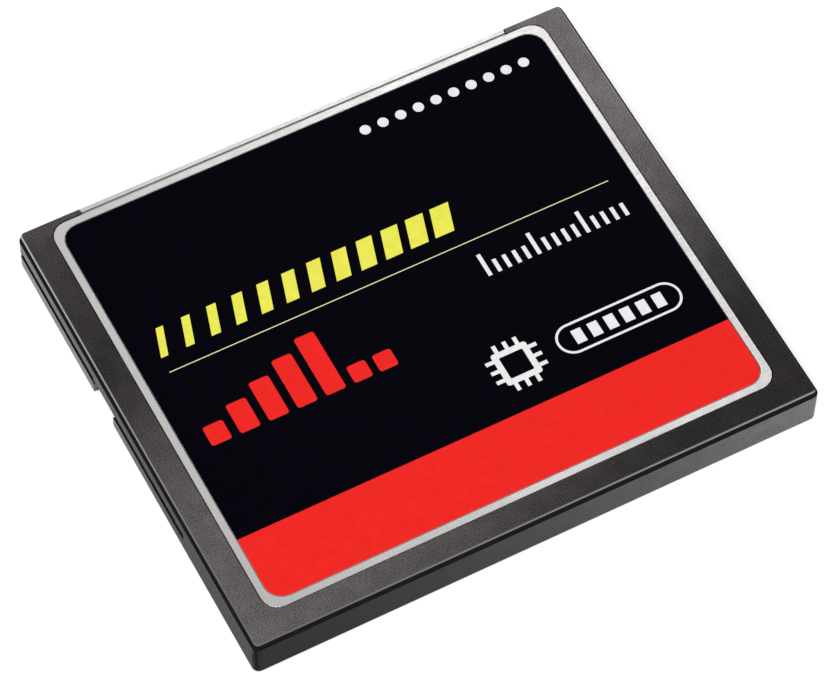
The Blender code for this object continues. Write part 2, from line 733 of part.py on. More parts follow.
def contact_strips():
    """All contacts: a spring strip in each cavity, and a tail bent down to the board's pad."""
    half = CONTACT_THICKNESS / 2
    shape = bmesh.new()
    for x, row in contact_places():
        spring = ROW_SPACING / 2 - CONTACT_OFFSET
        pad = BOARD_THICKNESS / 2 + SEAT_GAP + half
        path = [(SOCKET_END - CONTACT_TIP_SETBACK, spring), (HOUSING_REAR - TAIL_BEND / 2, spring),
                (HOUSING_REAR - TAIL_BEND, pad), (TAIL_END, pad)]
        section = [(y, out + half) for y, out in path] + [(y, out - half) for y, out in reversed(path)]
        add_loft(shape, [[(x + side * CONTACT_WIDTH / 2, y, MID_HEIGHT + row * out) for y, out in section]
                         for side in (-1, 1)])
    return solid("contacts", shape)


def build_socket(material):
    """Socket: housing with its nose, shoulders and board arms, two rows of cavities, and contacts."""
    low = MID_HEIGHT - HOUSING_HEIGHT / 2
    high = MID_HEIGHT + HOUSING_HEIGHT / 2
    housing = box("connector_housing", Field(-HOUSING_HALF, HOUSING_HALF, HOUSING_REAR, HOUSING_FRONT),
                  low, high)
    nose = box("nose", Field(-NOSE_HALF, NOSE_HALF, HOUSING_FRONT - SHEET, SOCKET_END), low, high)
    arms = []
    for side in (-1, 1):
        inner, outer = sorted((side * ARM_INNER, side * HOUSING_HALF))
        arms.append(box("arm", Field(inner, outer, ARM_REAR, HOUSING_REAR + SHEET),
                        MID_HEIGHT - ARM_HEIGHT / 2, MID_HEIGHT + ARM_HEIGHT / 2))
    join(housing, nose, *arms)
    carve(housing, cavity_cutter())
    return dress(join(housing, contact_strips()), material)


def board_outline():
    """Board outline: full width behind the socket, and a tongue between the housing's arms."""
    tongue = ARM_INNER - ARM_GAP
    step = ARM_REAR - ARM_GAP
    front = HOUSING_REAR - ARM_GAP
    return BOARD_FIELD.near_points() + [(BOARD_FIELD.right, step), (tongue, step), (tongue, front),
                                        (-tongue, front), (-tongue, step), (BOARD_FIELD.left, step)]


def build_board(material):
    """Circuit board, with its origin on its middle plane."""
    half = BOARD_THICKNESS / 2
    board = prism("circuit_board", board_outline(), -half, half)
    holes = [prism("peg_hole", disc(x, y, PEG_RADIUS + BOARD_HOLE_GAP, PEG_SIDES), -BOARD_THICKNESS,
                   BOARD_THICKNESS) for x, y in peg_places()]
    carve(board, *holes)
    board.location.z = MID_HEIGHT
    return dress(board, material)


def seat(item, board, x, y, side, turn=0.0):
    """Put a chip drawn foot down on one side of the board; side is 1 on top, -1 underneath."""
    item.parent = board
    item.location = (x, y, side * (BOARD_THICKNESS / 2 + SEAT_GAP))
    item.rotation_euler = (0.0, 0.0 if side > 0 else math.pi, math.radians(turn))
    return item


def centred(width, length, radius=0.0):
    """A field about the origin."""
    return Field(-width / 2, width / 2, -length / 2, length / 2, radius)


def mark_first_pin(item, width, length, height):
    """Sink a round mark beside a package's first pin."""
    mark = disc(MARK_INSET - width / 2, length / 2 - MARK_INSET, MARK_RADIUS, DOT_SIDES)
    carve(item, prism("mark", mark, height - MARK_DEPTH, height + PASS))


def build_flash(name, material):
    """Flat memory package with broken edges."""
    field = centred(FLASH_WIDTH, FLASH_LENGTH)
    inner = field.grown(-PACKAGE_EDGE)
    package = loft(name, [at_height(field.points(), 0.0),
                          at_height(field.points(), FLASH_HEIGHT - PACKAGE_EDGE),
                          at_height(inner.points(), FLASH_HEIGHT)])
    mark_first_pin(package, FLASH_WIDTH, FLASH_LENGTH, FLASH_HEIGHT)
    return dress(package, material)


def lead_section(root, exit_height):
    """(out, height) section of a gull-wing lead that leaves its package at a height."""
    shoulder = root + LEAD_SHOULDER
    foot = shoulder + LEAD_SLOPE
    toe = foot + LEAD_FOOT
    start = root - LEAD_ROOT
    top = exit_height + LEAD_THICKNESS
    return [(start, exit_height), (shoulder, exit_height), (foot, 0.0), (toe, 0.0),
            (toe, LEAD_THICKNESS), (foot + LEAD_THICKNESS / 2, LEAD_THICKNESS),
            (shoulder + LEAD_THICKNESS / 2, top), (start, top)]


def add_leads(shape, section, offsets, width, quarter):
    """Add a row of leads that points along one quarter turn from +X."""
    outward = Vector((math.cos(math.pi / 2 * quarter), math.sin(math.pi / 2 * quarter)))
    along = Vector((-outward.y, outward.x))
    for offset in offsets:
        add_loft(shape, [[(*(outward * out + along * (offset + side * width / 2)), height)
                          for out, height in section] for side in (-1, 1)])


def spread(count, pitch):
    """Evenly spaced places about zero."""
    return [(index - (count - 1) / 2) * pitch for index in range(count)]


def moulded_package(name, width, length, height, standoff):
    """Package body that tapers both ways from its parting line."""
    field = centred(width, length)
    inner = field.grown(-CONTROLLER_DRAFT)
    return loft(name, [at_height(inner.points(), standoff),
                       at_height(field.points(), (standoff + height) / 2),
                       at_height(inner.points(), height)])


def build_controller(material):
    """Square package with gull-wing leads on all four sides."""
    package = moulded_package("controller", CONTROLLER_SIDE, CONTROLLER_SIDE, CONTROLLER_HEIGHT,
                              CONTROLLER_STANDOFF)
    exit_height = (CONTROLLER_STANDOFF + CONTROLLER_HEIGHT - LEAD_THICKNESS) / 2
    shape = bmesh.new()
    for quarter in range(4):
        add_leads(shape, lead_section(CONTROLLER_SIDE / 2, exit_height),
                  spread(CONTROLLER_LEADS, LEAD_PITCH), LEAD_WIDTH, quarter)
    join(package, solid("leads", shape))
    mark_first_pin(package, CONTROLLER_SIDE, CONTROLLER_SIDE, CONTROLLER_HEIGHT)
    return dress(package, material)


def build_regulator(material):
    """Small package with a row of leads on one long side and one fewer, as widely spread, on the other."""
    package = moulded_package("regulator", REGULATOR_LENGTH, REGULATOR_WIDTH, CONTROLLER_HEIGHT,
                              CONTROLLER_STANDOFF)
    exit_height = (CONTROLLER_STANDOFF + CONTROLLER_HEIGHT - LEAD_THICKNESS) / 2
    section = lead_section(REGULATOR_WIDTH / 2, exit_height)
    fewer = REGULATOR_LEADS - 1
    wider = REGULATOR_PITCH * fewer / (fewer - 1)
    shape = bmesh.new()
    add_leads(shape, section, spread(REGULATOR_LEADS, REGULATOR_PITCH), REGULATOR_LEAD_WIDTH, 3)
    add_leads(shape, section, spread(fewer, wider), REGULATOR_LEAD_WIDTH, 1)
    return dress(join(package, solid("leads", shape)), material)


def build_crystal(material):
    """Timing crystal: a ceramic base with a smaller seam-welded lid."""
    base = centred(CRYSTAL_LENGTH, CRYSTAL_WIDTH, CRYSTAL_CORNER)
    lid = base.grown(-CRYSTAL_LID_INSET)
    rings = [at_height(base.points(SMALL_CORNER_STEPS), 0.0),
             at_height(base.points(SMALL_CORNER_STEPS), CRYSTAL_BASE_HEIGHT),
             at_height(lid.points(SMALL_CORNER_STEPS), CRYSTAL_BASE_HEIGHT),
             at_height(lid.points(SMALL_CORNER_STEPS), CRYSTAL_HEIGHT)]
    return dress(loft("crystal", rings), material)


def capacitor_mesh():
    """Ceramic capacitor: a block with a slightly larger metal cap on each end."""
    reach = CAPACITOR_LENGTH / 2
    neck = reach - CAPACITOR_CAP
    rings = []
    for x, shrink in ((-reach, 0.0), (-neck, 0.0), (-neck, CAPACITOR_CAP_PROUD),
                      (neck, CAPACITOR_CAP_PROUD), (neck, 0.0), (reach, 0.0)):
        half = CAPACITOR_WIDTH / 2 - shrink
        rings.append([(x, -half, shrink), (x, half, shrink),
                      (x, half, CAPACITOR_HEIGHT - shrink), (x, -half, CAPACITOR_HEIGHT - shrink)])
    return loft("capacitor", rings)


def array_outline():
    """Outline of a resistor array: a block with a notch between each pair of end pads."""
    half_length = ARRAY_ELEMENTS * ARRAY_PITCH / 2
    half_width = ARRAY_WIDTH / 2
    edge = [(-half_length, -half_width)]
    for gap in spread(ARRAY_ELEMENTS - 1, ARRAY_PITCH):
        edge += [(gap - ARRAY_NOTCH_WIDTH / 2, -half_width),
                 (gap - ARRAY_NOTCH_WIDTH / 2, ARRAY_NOTCH_DEPTH - half_width),
                 (gap + ARRAY_NOTCH_WIDTH / 2, ARRAY_NOTCH_DEPTH - half_width),
                 (gap + ARRAY_NOTCH_WIDTH / 2, -half_width)]
    edge.append((half_length, -half_width))
    return edge + [(-x, -y) for x, y in edge]


def copy_of(item, name):
    """A further object on the same mesh."""
    copy = bpy.data.objects.new(name, item.data)
    bpy.context.collection.objects.link(copy)
    return copy


def place_packages(board, chip, metal):
    """Seat the memory packages, the controller, the regulator and the crystal."""
    first = build_flash("flash_package_1", chip)
    seat(first, board, -BAY_CENTRE, FLASH_ROW, 1)
    seat(copy_of(first, "flash_package_2"), board, BAY_CENTRE, FLASH_ROW, 1)
    seat(copy_of(first, "flash_package_3"), board, BAY_CENTRE, FLASH_ROW, -1)
    seat(build_controller(chip), board, -BAY_CENTRE, FLASH_ROW, -1)
    seat(build_crystal(metal), board, -BAY_CENTRE, SERVICE_ROW, -1)
    seat(build_regulator(chip), board, STRIP_CENTRE, FLASH_ROW + FLASH_LENGTH / 4, -1, 90.0)


def place_capacitors(board, material):
    """Seat the capacitors: in the side strips, and under the board in the strip of small parts."""
    places = [(side * STRIP_CENTRE, FLASH_ROW + along, 1, 90.0)
              for side in (-1, 1) for along in spread(2, FLASH_LENGTH / 2)]
    places += [(-STRIP_CENTRE, FLASH_ROW + along, -1, 90.0) for along in spread(3, FLASH_LENGTH / 4)]
    places += [(BAY_CENTRE + across, SERVICE_ROW, -1, 0.0) for across in spread(3, FLASH_WIDTH / 3)]
    first = capacitor_mesh()
    first.name = "capacitor_1"
    dress(first, material)
    for index, (x, y, side, turn) in enumerate(places):
        item = first if index == 0 else copy_of(first, f"capacitor_{index + 1}")
        seat(item, board, x, y, side, turn)


def place_arrays(board, material):
    """Seat a row of resistor arrays behind the contact tails on both sides of the board."""
    first = dress(prism("resistor_array_1", array_outline(), 0.0, ARRAY_HEIGHT), material)
    places = [(x, side) for side in (1, -1) for x in spread(ARRAYS_PER_SIDE, ARRAY_SPACING)]
    for index, (x, side) in enumerate(places):
        item = first if index == 0 else copy_of(first, f"resistor_array_{index + 1}")
        seat(item, board, x, ARRAY_ROW, side)


def main():
    """Build the whole card."""
    clear_scene()
    moulding = finish("frame_plastic", (0.075, 0.072, 0.074), 0.55)
    steel = finish("cover_steel", (0.72, 0.71, 0.7), 0.32, 1.0)
    socket_plastic = finish("socket_plastic", (0.02, 0.02, 0.022), 0.45)
    laminate = finish("board_laminate", (0.015, 0.11, 0.05), 0.4)
    epoxy = finish("package_epoxy", (0.025, 0.025, 0.027), 0.6)
    can = finish("crystal_can", (0.62, 0.6, 0.55), 0.35, 1.0)
    ceramic = finish("capacitor_ceramic", (0.42, 0.3, 0.2), 0.5)
    resistor = finish("resistor_glaze", (0.05, 0.05, 0.055), 0.35)
    inks = {
        "black": finish("label_black", (0.006, 0.006, 0.009), 0.35),
        "red": finish("label_red", (0.85, 0.025, 0.02), 0.4),
        "yellow": finish("label_yellow", (0.83, 0.81, 0.11), 0.4),
        "white": finish("label_white", (0.85, 0.85, 0.85), 0.4),
    }
    build_frame(moulding)
    upper = build_cover("top_cover", UPPER_FLANGE_DEPTH, steel)
    upper.location.z = CARD_THICKNESS
    lower = build_cover("bottom_cover", LOWER_FLANGE_DEPTH, steel)
    lower.rotation_euler.y = math.pi
    build_label(inks)
    build_socket(socket_plastic)
    board = build_board(laminate)
    place_packages(board, epoxy, can)
    place_capacitors(board, ceramic)
    place_arrays(board, resistor)


main()
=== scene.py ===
"""Looks of a compact flash card: finishes, label print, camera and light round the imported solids.

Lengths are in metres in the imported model's own frame: +X across the card, +Y towards the socket end and
+Z up through the label. The origin is the centre of the card's underside.
"""

import logging
import math
from collections.abc import Iterable, Iterator
from dataclasses import dataclass
from enum import Enum

import bmesh
import bpy
from mathutils import Matrix, Vector

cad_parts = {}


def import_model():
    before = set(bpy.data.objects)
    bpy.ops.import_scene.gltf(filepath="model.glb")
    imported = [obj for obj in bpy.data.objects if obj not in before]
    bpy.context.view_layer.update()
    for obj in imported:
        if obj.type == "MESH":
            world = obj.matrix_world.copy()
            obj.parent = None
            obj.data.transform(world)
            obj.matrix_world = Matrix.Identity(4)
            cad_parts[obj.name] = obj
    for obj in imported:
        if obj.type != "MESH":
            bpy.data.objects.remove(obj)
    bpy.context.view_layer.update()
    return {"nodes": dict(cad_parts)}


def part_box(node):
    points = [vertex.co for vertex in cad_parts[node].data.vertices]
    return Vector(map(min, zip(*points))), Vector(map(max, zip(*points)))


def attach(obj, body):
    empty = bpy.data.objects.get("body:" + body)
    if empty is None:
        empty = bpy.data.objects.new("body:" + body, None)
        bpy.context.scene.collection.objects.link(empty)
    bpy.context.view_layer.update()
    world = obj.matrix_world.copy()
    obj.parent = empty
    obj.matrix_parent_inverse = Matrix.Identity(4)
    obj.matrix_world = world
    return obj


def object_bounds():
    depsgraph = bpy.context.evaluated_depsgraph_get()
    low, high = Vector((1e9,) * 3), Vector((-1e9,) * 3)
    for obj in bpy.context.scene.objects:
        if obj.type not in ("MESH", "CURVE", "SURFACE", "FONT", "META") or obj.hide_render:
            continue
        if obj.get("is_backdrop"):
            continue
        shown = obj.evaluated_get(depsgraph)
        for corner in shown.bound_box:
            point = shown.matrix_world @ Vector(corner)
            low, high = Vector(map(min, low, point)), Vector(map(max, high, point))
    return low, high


MM = 0.001
BODY = "root"
LOG = logging.getLogger("card")

# The depth of the frame's grooves and notches, and where the notches start and end along the card.
CUT_DEPTH = 0.57 * MM
NOTCH = (3.2 * MM, 6.2 * MM)

# The spread of a noise pattern's values, and the part of it over which flecks come in.
NOISE_SPREAD = (0.3, 0.7)
FLECK_SPREAD = (0.35, 0.7)

# Places of a Mix node's sockets, of which it has a set for each kind of value.
MIX_NUMBERS = slice(2, 4)
MIX_COLOURS = slice(6, 8)
MIX_COLOUR_RESULT = 2

Point = tuple[float, float]
Span = tuple[float, float]
Place = tuple[float, float, float]
Colour = tuple[float, float, float]
Socket = bpy.types.NodeSocket
Value = Socket | float | tuple[float, ...]


class Axis(Enum):
    """A level axis of the card."""

    ACROSS = 0
    ALONG = 1


class Ink(Enum):
    """The inks of the label's print."""

    RED = "red"
    YELLOW = "yellow"
    PALE = "pale"
    WHITE = "white"


class Graph:
    """A new material's node tree, with a method for each kind of node that the finishes need."""

    def __init__(self, name: str) -> None:
        """Start a material that holds a Principled shader.

        Args:
            name: The material's name.
        """
        self.material = bpy.data.materials.new(name)
        self.material.use_nodes = True
        self.tree = self.material.node_tree
        self.shader = self.tree.nodes["Principled BSDF"]

    def node(self, kind: str, **settings: object) -> bpy.types.Node:
        """Add a node.

        Args:
            kind: The node's type.
            settings: Values for the node's own properties.

        Returns:
            The new node.
        """
        made = self.tree.nodes.new(kind)
        for key, value in settings.items():
            setattr(made, key, value)
        return made

    def feed(self, socket: Socket, value: Value) -> None:
        """Link another socket to a socket, or set its plain value.

        Args:
            socket: The input to fill.
            value: Another node's output, a number or a tuple.
        """
        if isinstance(value, bpy.types.NodeSocket):
            self.tree.links.new(value, socket)
        else:
            socket.default_value = value

    def set(self, **values: Value) -> None:
        """Fill inputs of the shader.

        Args:
            values: Input names, with underscores for spaces, and what goes into them.
        """
        for key, value in values.items():
            plain = isinstance(value, tuple) and len(value) == 3 and key.endswith("Color")
            self.feed(self.shader.inputs[key.replace("_", " ")], (*value, 1.0) if plain else value)

    def math(self, operation: str, first: Value, *others: Value) -> Socket:
        """Add a Math node, or a chain of them for more than two numbers.

        Args:
            operation: The operation of each node.
            first: The first number.
            others: The numbers that the operation joins to it in turn, or none if it takes only one.

        Returns:
            The result's socket.
        """
        for other in others or (0.0,):
            made = self.node("ShaderNodeMath", operation=operation)
            self.feed(made.inputs[0], first)
            self.feed(made.inputs[1], other)
            first = made.outputs[0]
        return first

    def rest(self, mask: Value) -> Socket:
        """What a mask leaves out."""
        return self.math("SUBTRACT", 1.0, mask)

    def place(self) -> Socket:
        """Object coordinates, which are the card's own."""
        return self.node("ShaderNodeTexCoord").outputs["Object"]

    def share(self) -> Socket:
        """Coordinates that run from 0 to 1 over the piece's own box."""
        return self.node("ShaderNodeTexCoord").outputs["Generated"]

    def facing(self) -> list[Socket]:
        """The parts of the face's normal."""
        return self.parts(self.node("ShaderNodeNewGeometry").outputs["True Normal"])

    def parts(self, vector: Value) -> list[Socket]:
        """Split a vector into its three numbers.

        Args:
            vector: The vector to split.

        Returns:
            The sockets of X, Y and Z.
        """
        made = self.node("ShaderNodeSeparateXYZ")
        self.feed(made.inputs[0], vector)
        return list(made.outputs)

    def stretched(self, vector: Value, factors: Place) -> Socket:
        """Scale a vector along its axes.

        Args:
            vector: The vector to scale.
            factors: One factor for each axis.

        Returns:
            The scaled vector.
        """
        made = self.node("ShaderNodeVectorMath", operation="MULTIPLY")
        self.feed(made.inputs[0], vector)
        self.feed(made.inputs[1], factors)
        return made.outputs[0]

    def scaled(self, colour: Value, factor: Value) -> Socket:
        """Make a colour lighter or darker.

        Args:
            colour: The colour.
            factor: What its parts are multiplied by.

        Returns:
            The new colour.
        """
        made = self.node("ShaderNodeVectorMath", operation="SCALE")
        self.feed(made.inputs[0], colour)
        self.feed(made.inputs["Scale"], factor)
        return made.outputs[0]

    def noise(self, vector: Value, size: float, detail: float = 2.0) -> Socket:
        """Add a noise pattern.

        Args:
            vector: Where it is read.
            size: The length of its largest grain.
            detail: How many finer layers it has.

        Returns:
            Its grey value, about 0.5 on average.
        """
        made = self.node("ShaderNodeTexNoise")
        self.feed(made.inputs["Vector"], vector)
        self.feed(made.inputs["Scale"], 1.0 / size)
        self.feed(made.inputs["Detail"], detail)
        return made.outputs["Fac"]

    def remap(self, value: Value, start: float, end: float, low: float = 0.0, high: float = 1.0) -> Socket:
        """Turn one range into another with soft ends.

        Args:
            value: The number to turn.
            start: What becomes low.
            end: What becomes high.
            low: The result at start.
            high: The result at end.

        Returns:
            The result, which stays between low and high.
        """
        made = self.node("ShaderNodeMapRange", interpolation_type="SMOOTHSTEP")
        for socket, number in zip(made.inputs, (value, start, end, low, high)):
            self.feed(socket, number)
        return made.outputs[0]

    def between(self, value: Value, low: float, high: float, soft: float) -> Socket:
        """Mark where a number lies between two others.

        Args:
            value: The number to test.
            low: The lower of the two.
            high: The higher one.
            soft: The width of the mask's edge.

        Returns:
            1 inside and 0 outside.
        """
        away = self.math("ABSOLUTE", self.math("SUBTRACT", value, (low + high) / 2))
        half = (high - low) / 2
        return self.remap(away, half - soft / 2, half + soft / 2, 1.0, 0.0)

    def swing(self, pattern: Value, middle: float, by: float) -> Socket:
        """Let a noise pattern move a number about its middle.

        Args:
            pattern: The pattern.
            middle: The number on average.
            by: How far the pattern moves it either way.

        Returns:
            The moved number.
        """
        return self.remap(pattern, *NOISE_SPREAD, middle - by, middle + by)

    def mix(self, factor: Value, first: Value, second: Value) -> Socket:
        """Mix two colours.

        Args:
            factor: 0 gives the first colour and 1 the second.
            first: The first colour.
            second: The second colour.

        Returns:
            The mixed colour.
        """
        made = self.node("ShaderNodeMix", data_type="RGBA")
        self.feed(made.inputs[0], factor)
        for socket, colour in zip(made.inputs[MIX_COLOURS], (first, second)):
            self.feed(socket, (*colour, 1.0) if isinstance(colour, tuple) else colour)
        return made.outputs[MIX_COLOUR_RESULT]

    def blend(self, factor: Value, first: Value, second: Value) -> Socket:
        """Mix two numbers.

        Args:
            factor: 0 gives the first number and 1 the second.
            first: The first number.
            second: The second number.

        Returns:
            The mixed number.
        """
        made = self.node("ShaderNodeMix", data_type="FLOAT")
        self.feed(made.inputs[0], factor)
        for socket, value in zip(made.inputs[MIX_NUMBERS], (first, second)):
            self.feed(socket, value)
        return made.outputs[0]

    def bump(self, height: Value, depth: float, strength: Value = 1.0) -> None:
        """Feed the shader's normal with a bump.

        Args:
            height: The pattern, from 0 to 1.
            depth: How high 1 stands above 0.
            strength: How much of the bump shows.
        """
        made = self.node("ShaderNodeBump")
        self.feed(made.inputs["Height"], height)
        self.feed(made.inputs["Distance"], depth)
        self.feed(made.inputs["Strength"], strength)
        self.feed(self.shader.inputs["Normal"], made.outputs[0])


class Finish:
    """A kind of surface, which knows how to wire up a material."""

    def wire(self, graph: Graph) -> None:
        """Wire up the material's nodes.

        Args:
            graph: The material's graph.
        """
        raise NotImplementedError

    def make(self, name: str) -> bpy.types.Material:
        """Build a material with this finish.

        Args:
            name: The material's name.

        Returns:
            The finished material.
        """
        graph = Graph(name)
        self.wire(graph)
        return graph.material


@dataclass(frozen=True)
class Spot:
    """Where a point of the moulding lies and which way its face looks, each as a socket.

    Attributes:
        graph: The material's graph.
        across: Its X.
        along: Its Y.
        up: Its Z.
        facing: The parts of its face's normal.
        tilt: 0 on a wall and 1 on a level face.
        from_left: The distance to the left side.
        from_right: The distance to the right side.
        from_side: The distance to the nearer of the two.
        from_end: The distance to the nearer end.
        from_edge: The distance to the left side or to the near end, whichever is nearer.
    """

    graph: Graph
    across: Socket
    along: Socket
    up: Socket
    facing: list[Socket]
    tilt: Socket
    from_left: Socket
    from_right: Socket
    from_side: Socket
    from_end: Socket
    from_edge: Socket


@dataclass(frozen=True)
class BlastedMoulding(Finish):
    """Dark moulding: a fine blasted grain, a painted sheen along one diagonal, painted highlights on the
    crests, painted shade in the recesses.

    Attributes:
        half_width: Half the moulding's width.
        half_length: Half its length.
        groove: The lowest and highest height of the guide grooves.
        groove_depth: How deep they are.
        groove_length: How far they run from the socket end.
        mouth: The lowest and highest height of the painted shade over the left groove.
        notch: Where the left notch starts and ends along the card.
        flat_dark: The top's colour away from the painted sheen.
        corner_painted_sheen: The painted sheen that lightens the top towards the far left corner.
        left_painted_sheen: The painted sheen's colour on the left.
        right_painted_sheen: The painted sheen's colour on the right.
        side_painted_dark: The left and near sides' colour where they meet the sheen's line, darkened by painted
            shade.
        side_painted_light: Their colour furthest from it, lightened by painted light.
        side_plain: The colour of the right side and of the socket end.
        ledge: The painted reflection that lightens the ledge below the left groove at the socket end.
        crest_highlight_dim: The colour of the crests' painted highlight where they meet the sheen's line.
        crest_highlight_bright: Its colour furthest from it.
        painted_shade_black: The black of the chamfer, the upright corners, the grooves, the lip over the left
            groove and the line along the right edge; in the grooves, on the lip and along the right edge it is
            painted shade.
        sheen_angle: The direction in which the sheen fades, in degrees from +X towards -Y.
        sheen: How far from its line the sheen starts to fade and is gone.
        left_falloff: How many times faster it fades on the left.
        corner: How far to the left of the sheen's line corner_painted_sheen starts and is full.
        ear: How far from the socket end the left ear starts to take more painted sheen.
        ear_painted_lift: How much lighter that painted sheen makes the ear at the socket end.
        ledge_start: The Y at which the ledge's painted reflection starts to fade in.
        ledge_depth: How far in the ledge and its painted reflection reach.
        near_painted_shade: The share of its light that the near side keeps, a painted shade.
        near_facing: The Y of the normal over which a face stops being the near side's.
        plain_facing: The X or Y of the normal over which a face takes side_plain.
        wall_low: The height above which the inner walls take the top's colour.
        wall_inset: How far inside the outline they start.
        flat: The tilts over which a face becomes level.
        rounding: The tilts of the rounded edges.
        chamfer: The tilts of the chamfer.
        tilt_soft: The width of a tilt mask's edge.
        upright: The parts of the normal, without their signs, in the upright corners.
        upright_soft: The width of that mask's edge.
        rim: The distances from the edge over which the painted highlight on its upper part ends.
        crest_low: The height above which the edge takes the painted highlight.
        crest: The distances from the edge over which the painted highlight's strip on the top ends.
        crest_turn: How far from the left side the near side's crest takes its own painted highlight.
        near_crest: The share of its light that this crest keeps.
        glint: The distances from the right side at which the painted glint is brightest and gone.
        glint_lift: How much lighter the painted glint is.
        grain: The size of the blasted grain.
        grain_contrast: How far it moves the tone.
        grain_depth: How high it stands.
        mottle: The size of the broad mottle.
        mottle_contrast: How far it moves the tone.
        side_bump: The share of the grain's height that shows on the sides.
        roughness: The roughness on average.
        roughness_swing: How far the grain moves it.
        recess_roughness: The roughness of all that is black.
        gloss: The specular level.
        soft: The width of a mask's edge.
    """

    half_width: float
    half_length: float
    groove: Span = (0.99 * MM, 2.0 * MM)
    groove_depth: float = CUT_DEPTH
    groove_length: float = 25.78 * MM
    mouth: Span = (1.6 * MM, 1.84 * MM)
    notch: Span = NOTCH
    flat_dark: Colour = (0.0262, 0.0232, 0.0229)
    corner_painted_sheen: Colour = (0.047, 0.043, 0.042)
    left_painted_sheen: Colour = (0.115, 0.104, 0.103)
    right_painted_sheen: Colour = (0.158, 0.145, 0.15)
    side_painted_dark: Colour = (0.002, 0.0018, 0.0018)
    side_painted_light: Colour = (0.19, 0.183, 0.184)
    side_plain: Colour = (0.05, 0.047, 0.047)
    ledge: Colour = (0.25, 0.244, 0.245)
    crest_highlight_dim: Colour = (0.12, 0.117, 0.117)
    crest_highlight_bright: Colour = (0.46, 0.45, 0.45)
    painted_shade_black: Colour = (0.0275, 0.0265, 0.0275)
    sheen_angle: float = 54.8
    sheen: Span = (2.0 * MM, 21.0 * MM)
    left_falloff: float = 1.15
    corner: Span = (13.0 * MM, 27.0 * MM)
    ear: float = 2.2 * MM
    ear_painted_lift: float = 0.55
    ledge_start: float = -11.0 * MM
    ledge_depth: float = 0.22 * MM
    near_painted_shade: float = 0.84
    near_facing: Span = (-0.8, -0.6)
    plain_facing: Span = (0.3, 0.6)
    wall_low: float = 2.5 * MM
    wall_inset: float = 0.45 * MM
    flat: Span = (0.9, 0.98)
    rounding: Span = (0.55, 0.95)
    chamfer: Span = (0.297, 0.537)
    tilt_soft: float = 0.06
    upright: Span = (0.5, 0.9)
    upright_soft: float = 0.2
    rim: Span = (0.3 * MM, 0.35 * MM)
    crest_low: float = 3.21 * MM
    crest: Span = (0.22 * MM, 0.29 * MM)
    crest_turn: float = 1.4 * MM
    near_crest: float = 0.5
    glint: Span = (0.31 * MM, 0.46 * MM)
    glint_lift: float = 0.35
    grain: float = 0.1 * MM
    grain_contrast: float = 0.42
    grain_depth: float = 0.008 * MM
    mottle: float = 1.4 * MM
    mottle_contrast: float = 0.1
    side_bump: float = 0.25
    roughness: float = 0.46
    roughness_swing: float = 0.06
    recess_roughness: float = 0.95
    gloss: float = 0.1
    soft: float = 0.04 * MM

    def spot(self, graph: Graph, place: Socket) -> Spot:
        """Set a place against the moulding's outline.

        Args:
            graph: The material's graph.
            place: The place's coordinates.

        Returns:
            What the masks and colours are worked out from.
        """
        across, along, up = graph.parts(place)
        facing = graph.facing()
        from_left = graph.math("ADD", across, self.half_width)
        return Spot(graph, across, along, up, facing,
                    tilt=graph.math("ABSOLUTE", facing[2]),
                    from_left=from_left,
                    from_right=graph.math("SUBTRACT", self.half_width, across),
                    from_side=graph.math("SUBTRACT", self.half_width, graph.math("ABSOLUTE", across)),
                    from_end=graph.math("SUBTRACT", self.half_length, graph.math("ABSOLUTE", along)),
                    from_edge=graph.math("MINIMUM", from_left, graph.math("ADD", along, self.half_length)))

    def offset(self, spot: Spot) -> Socket:
        """Distance from the line of the sheen, which runs from the near left to the far right.

        Args:
            spot: The place.

        Returns:
            The distance's socket, in metres, which is above 0 on the near right.
        """
        graph = spot.graph
        angle = math.radians(self.sheen_angle)
        return graph.math("SUBTRACT", graph.math("MULTIPLY", spot.across, math.cos(angle)),
                          graph.math("MULTIPLY", spot.along, math.sin(angle)))

    def above(self, spot: Spot) -> Socket:
        """Mark what is high enough for the crests' painted highlight and the line of painted shade on the
        right.
        """
        return spot.graph.remap(spot.up, self.crest_low - self.soft, self.crest_low)

    def beside(self, spot: Spot) -> Socket:
        """Mark the length of the card that has the guide grooves."""
        return spot.graph.math("GREATER_THAN", spot.along, self.half_length - self.groove_length)

    def hollows(self, spot: Spot) -> Socket:
        """Mark the chamfer, the upright corners on the left and the inside of the guide grooves, which are
        painted black, as painted shade inside the grooves.

        Args:
            spot: The place.

        Returns:
            The mask's socket.
        """
        graph = spot.graph
        sloped = graph.between(spot.tilt, *self.chamfer, self.tilt_soft)
        start, end = self.upright
        leftward = graph.between(spot.facing[0], -end, -start, self.upright_soft)
        endward = graph.between(graph.math("ABSOLUTE", spot.facing[1]), start, end, self.upright_soft)
        turned = graph.math("MULTIPLY", leftward, endward)
        low, high = self.groove
        level = graph.between(spot.up, low - self.soft, high + self.soft, self.soft)
        inside = graph.remap(spot.from_side, 0.0, self.soft)
        walled = graph.between(spot.from_side, -self.soft, self.groove_depth + self.soft, self.soft)
        grooved = graph.math("MULTIPLY", level, inside, walled, graph.remap(spot.from_end, *self.rim))
        return graph.math("MAXIMUM", sloped, turned, grooved)

    def lip(self, spot: Spot) -> Socket:
        """Mark the painted shade on the edge over the left groove, which stops at the notch.

        Args:
            spot: The place.

        Returns:
            The mask's socket.
        """
        graph = spot.graph
        level = graph.between(spot.up, *self.mouth, self.soft)
        outside = graph.remap(spot.from_left, self.soft, 2 * self.soft, 1.0, 0.0)
        clear = graph.rest(graph.between(spot.along, *self.notch, self.soft))
        return graph.math("MULTIPLY", level, outside, clear, self.beside(spot))

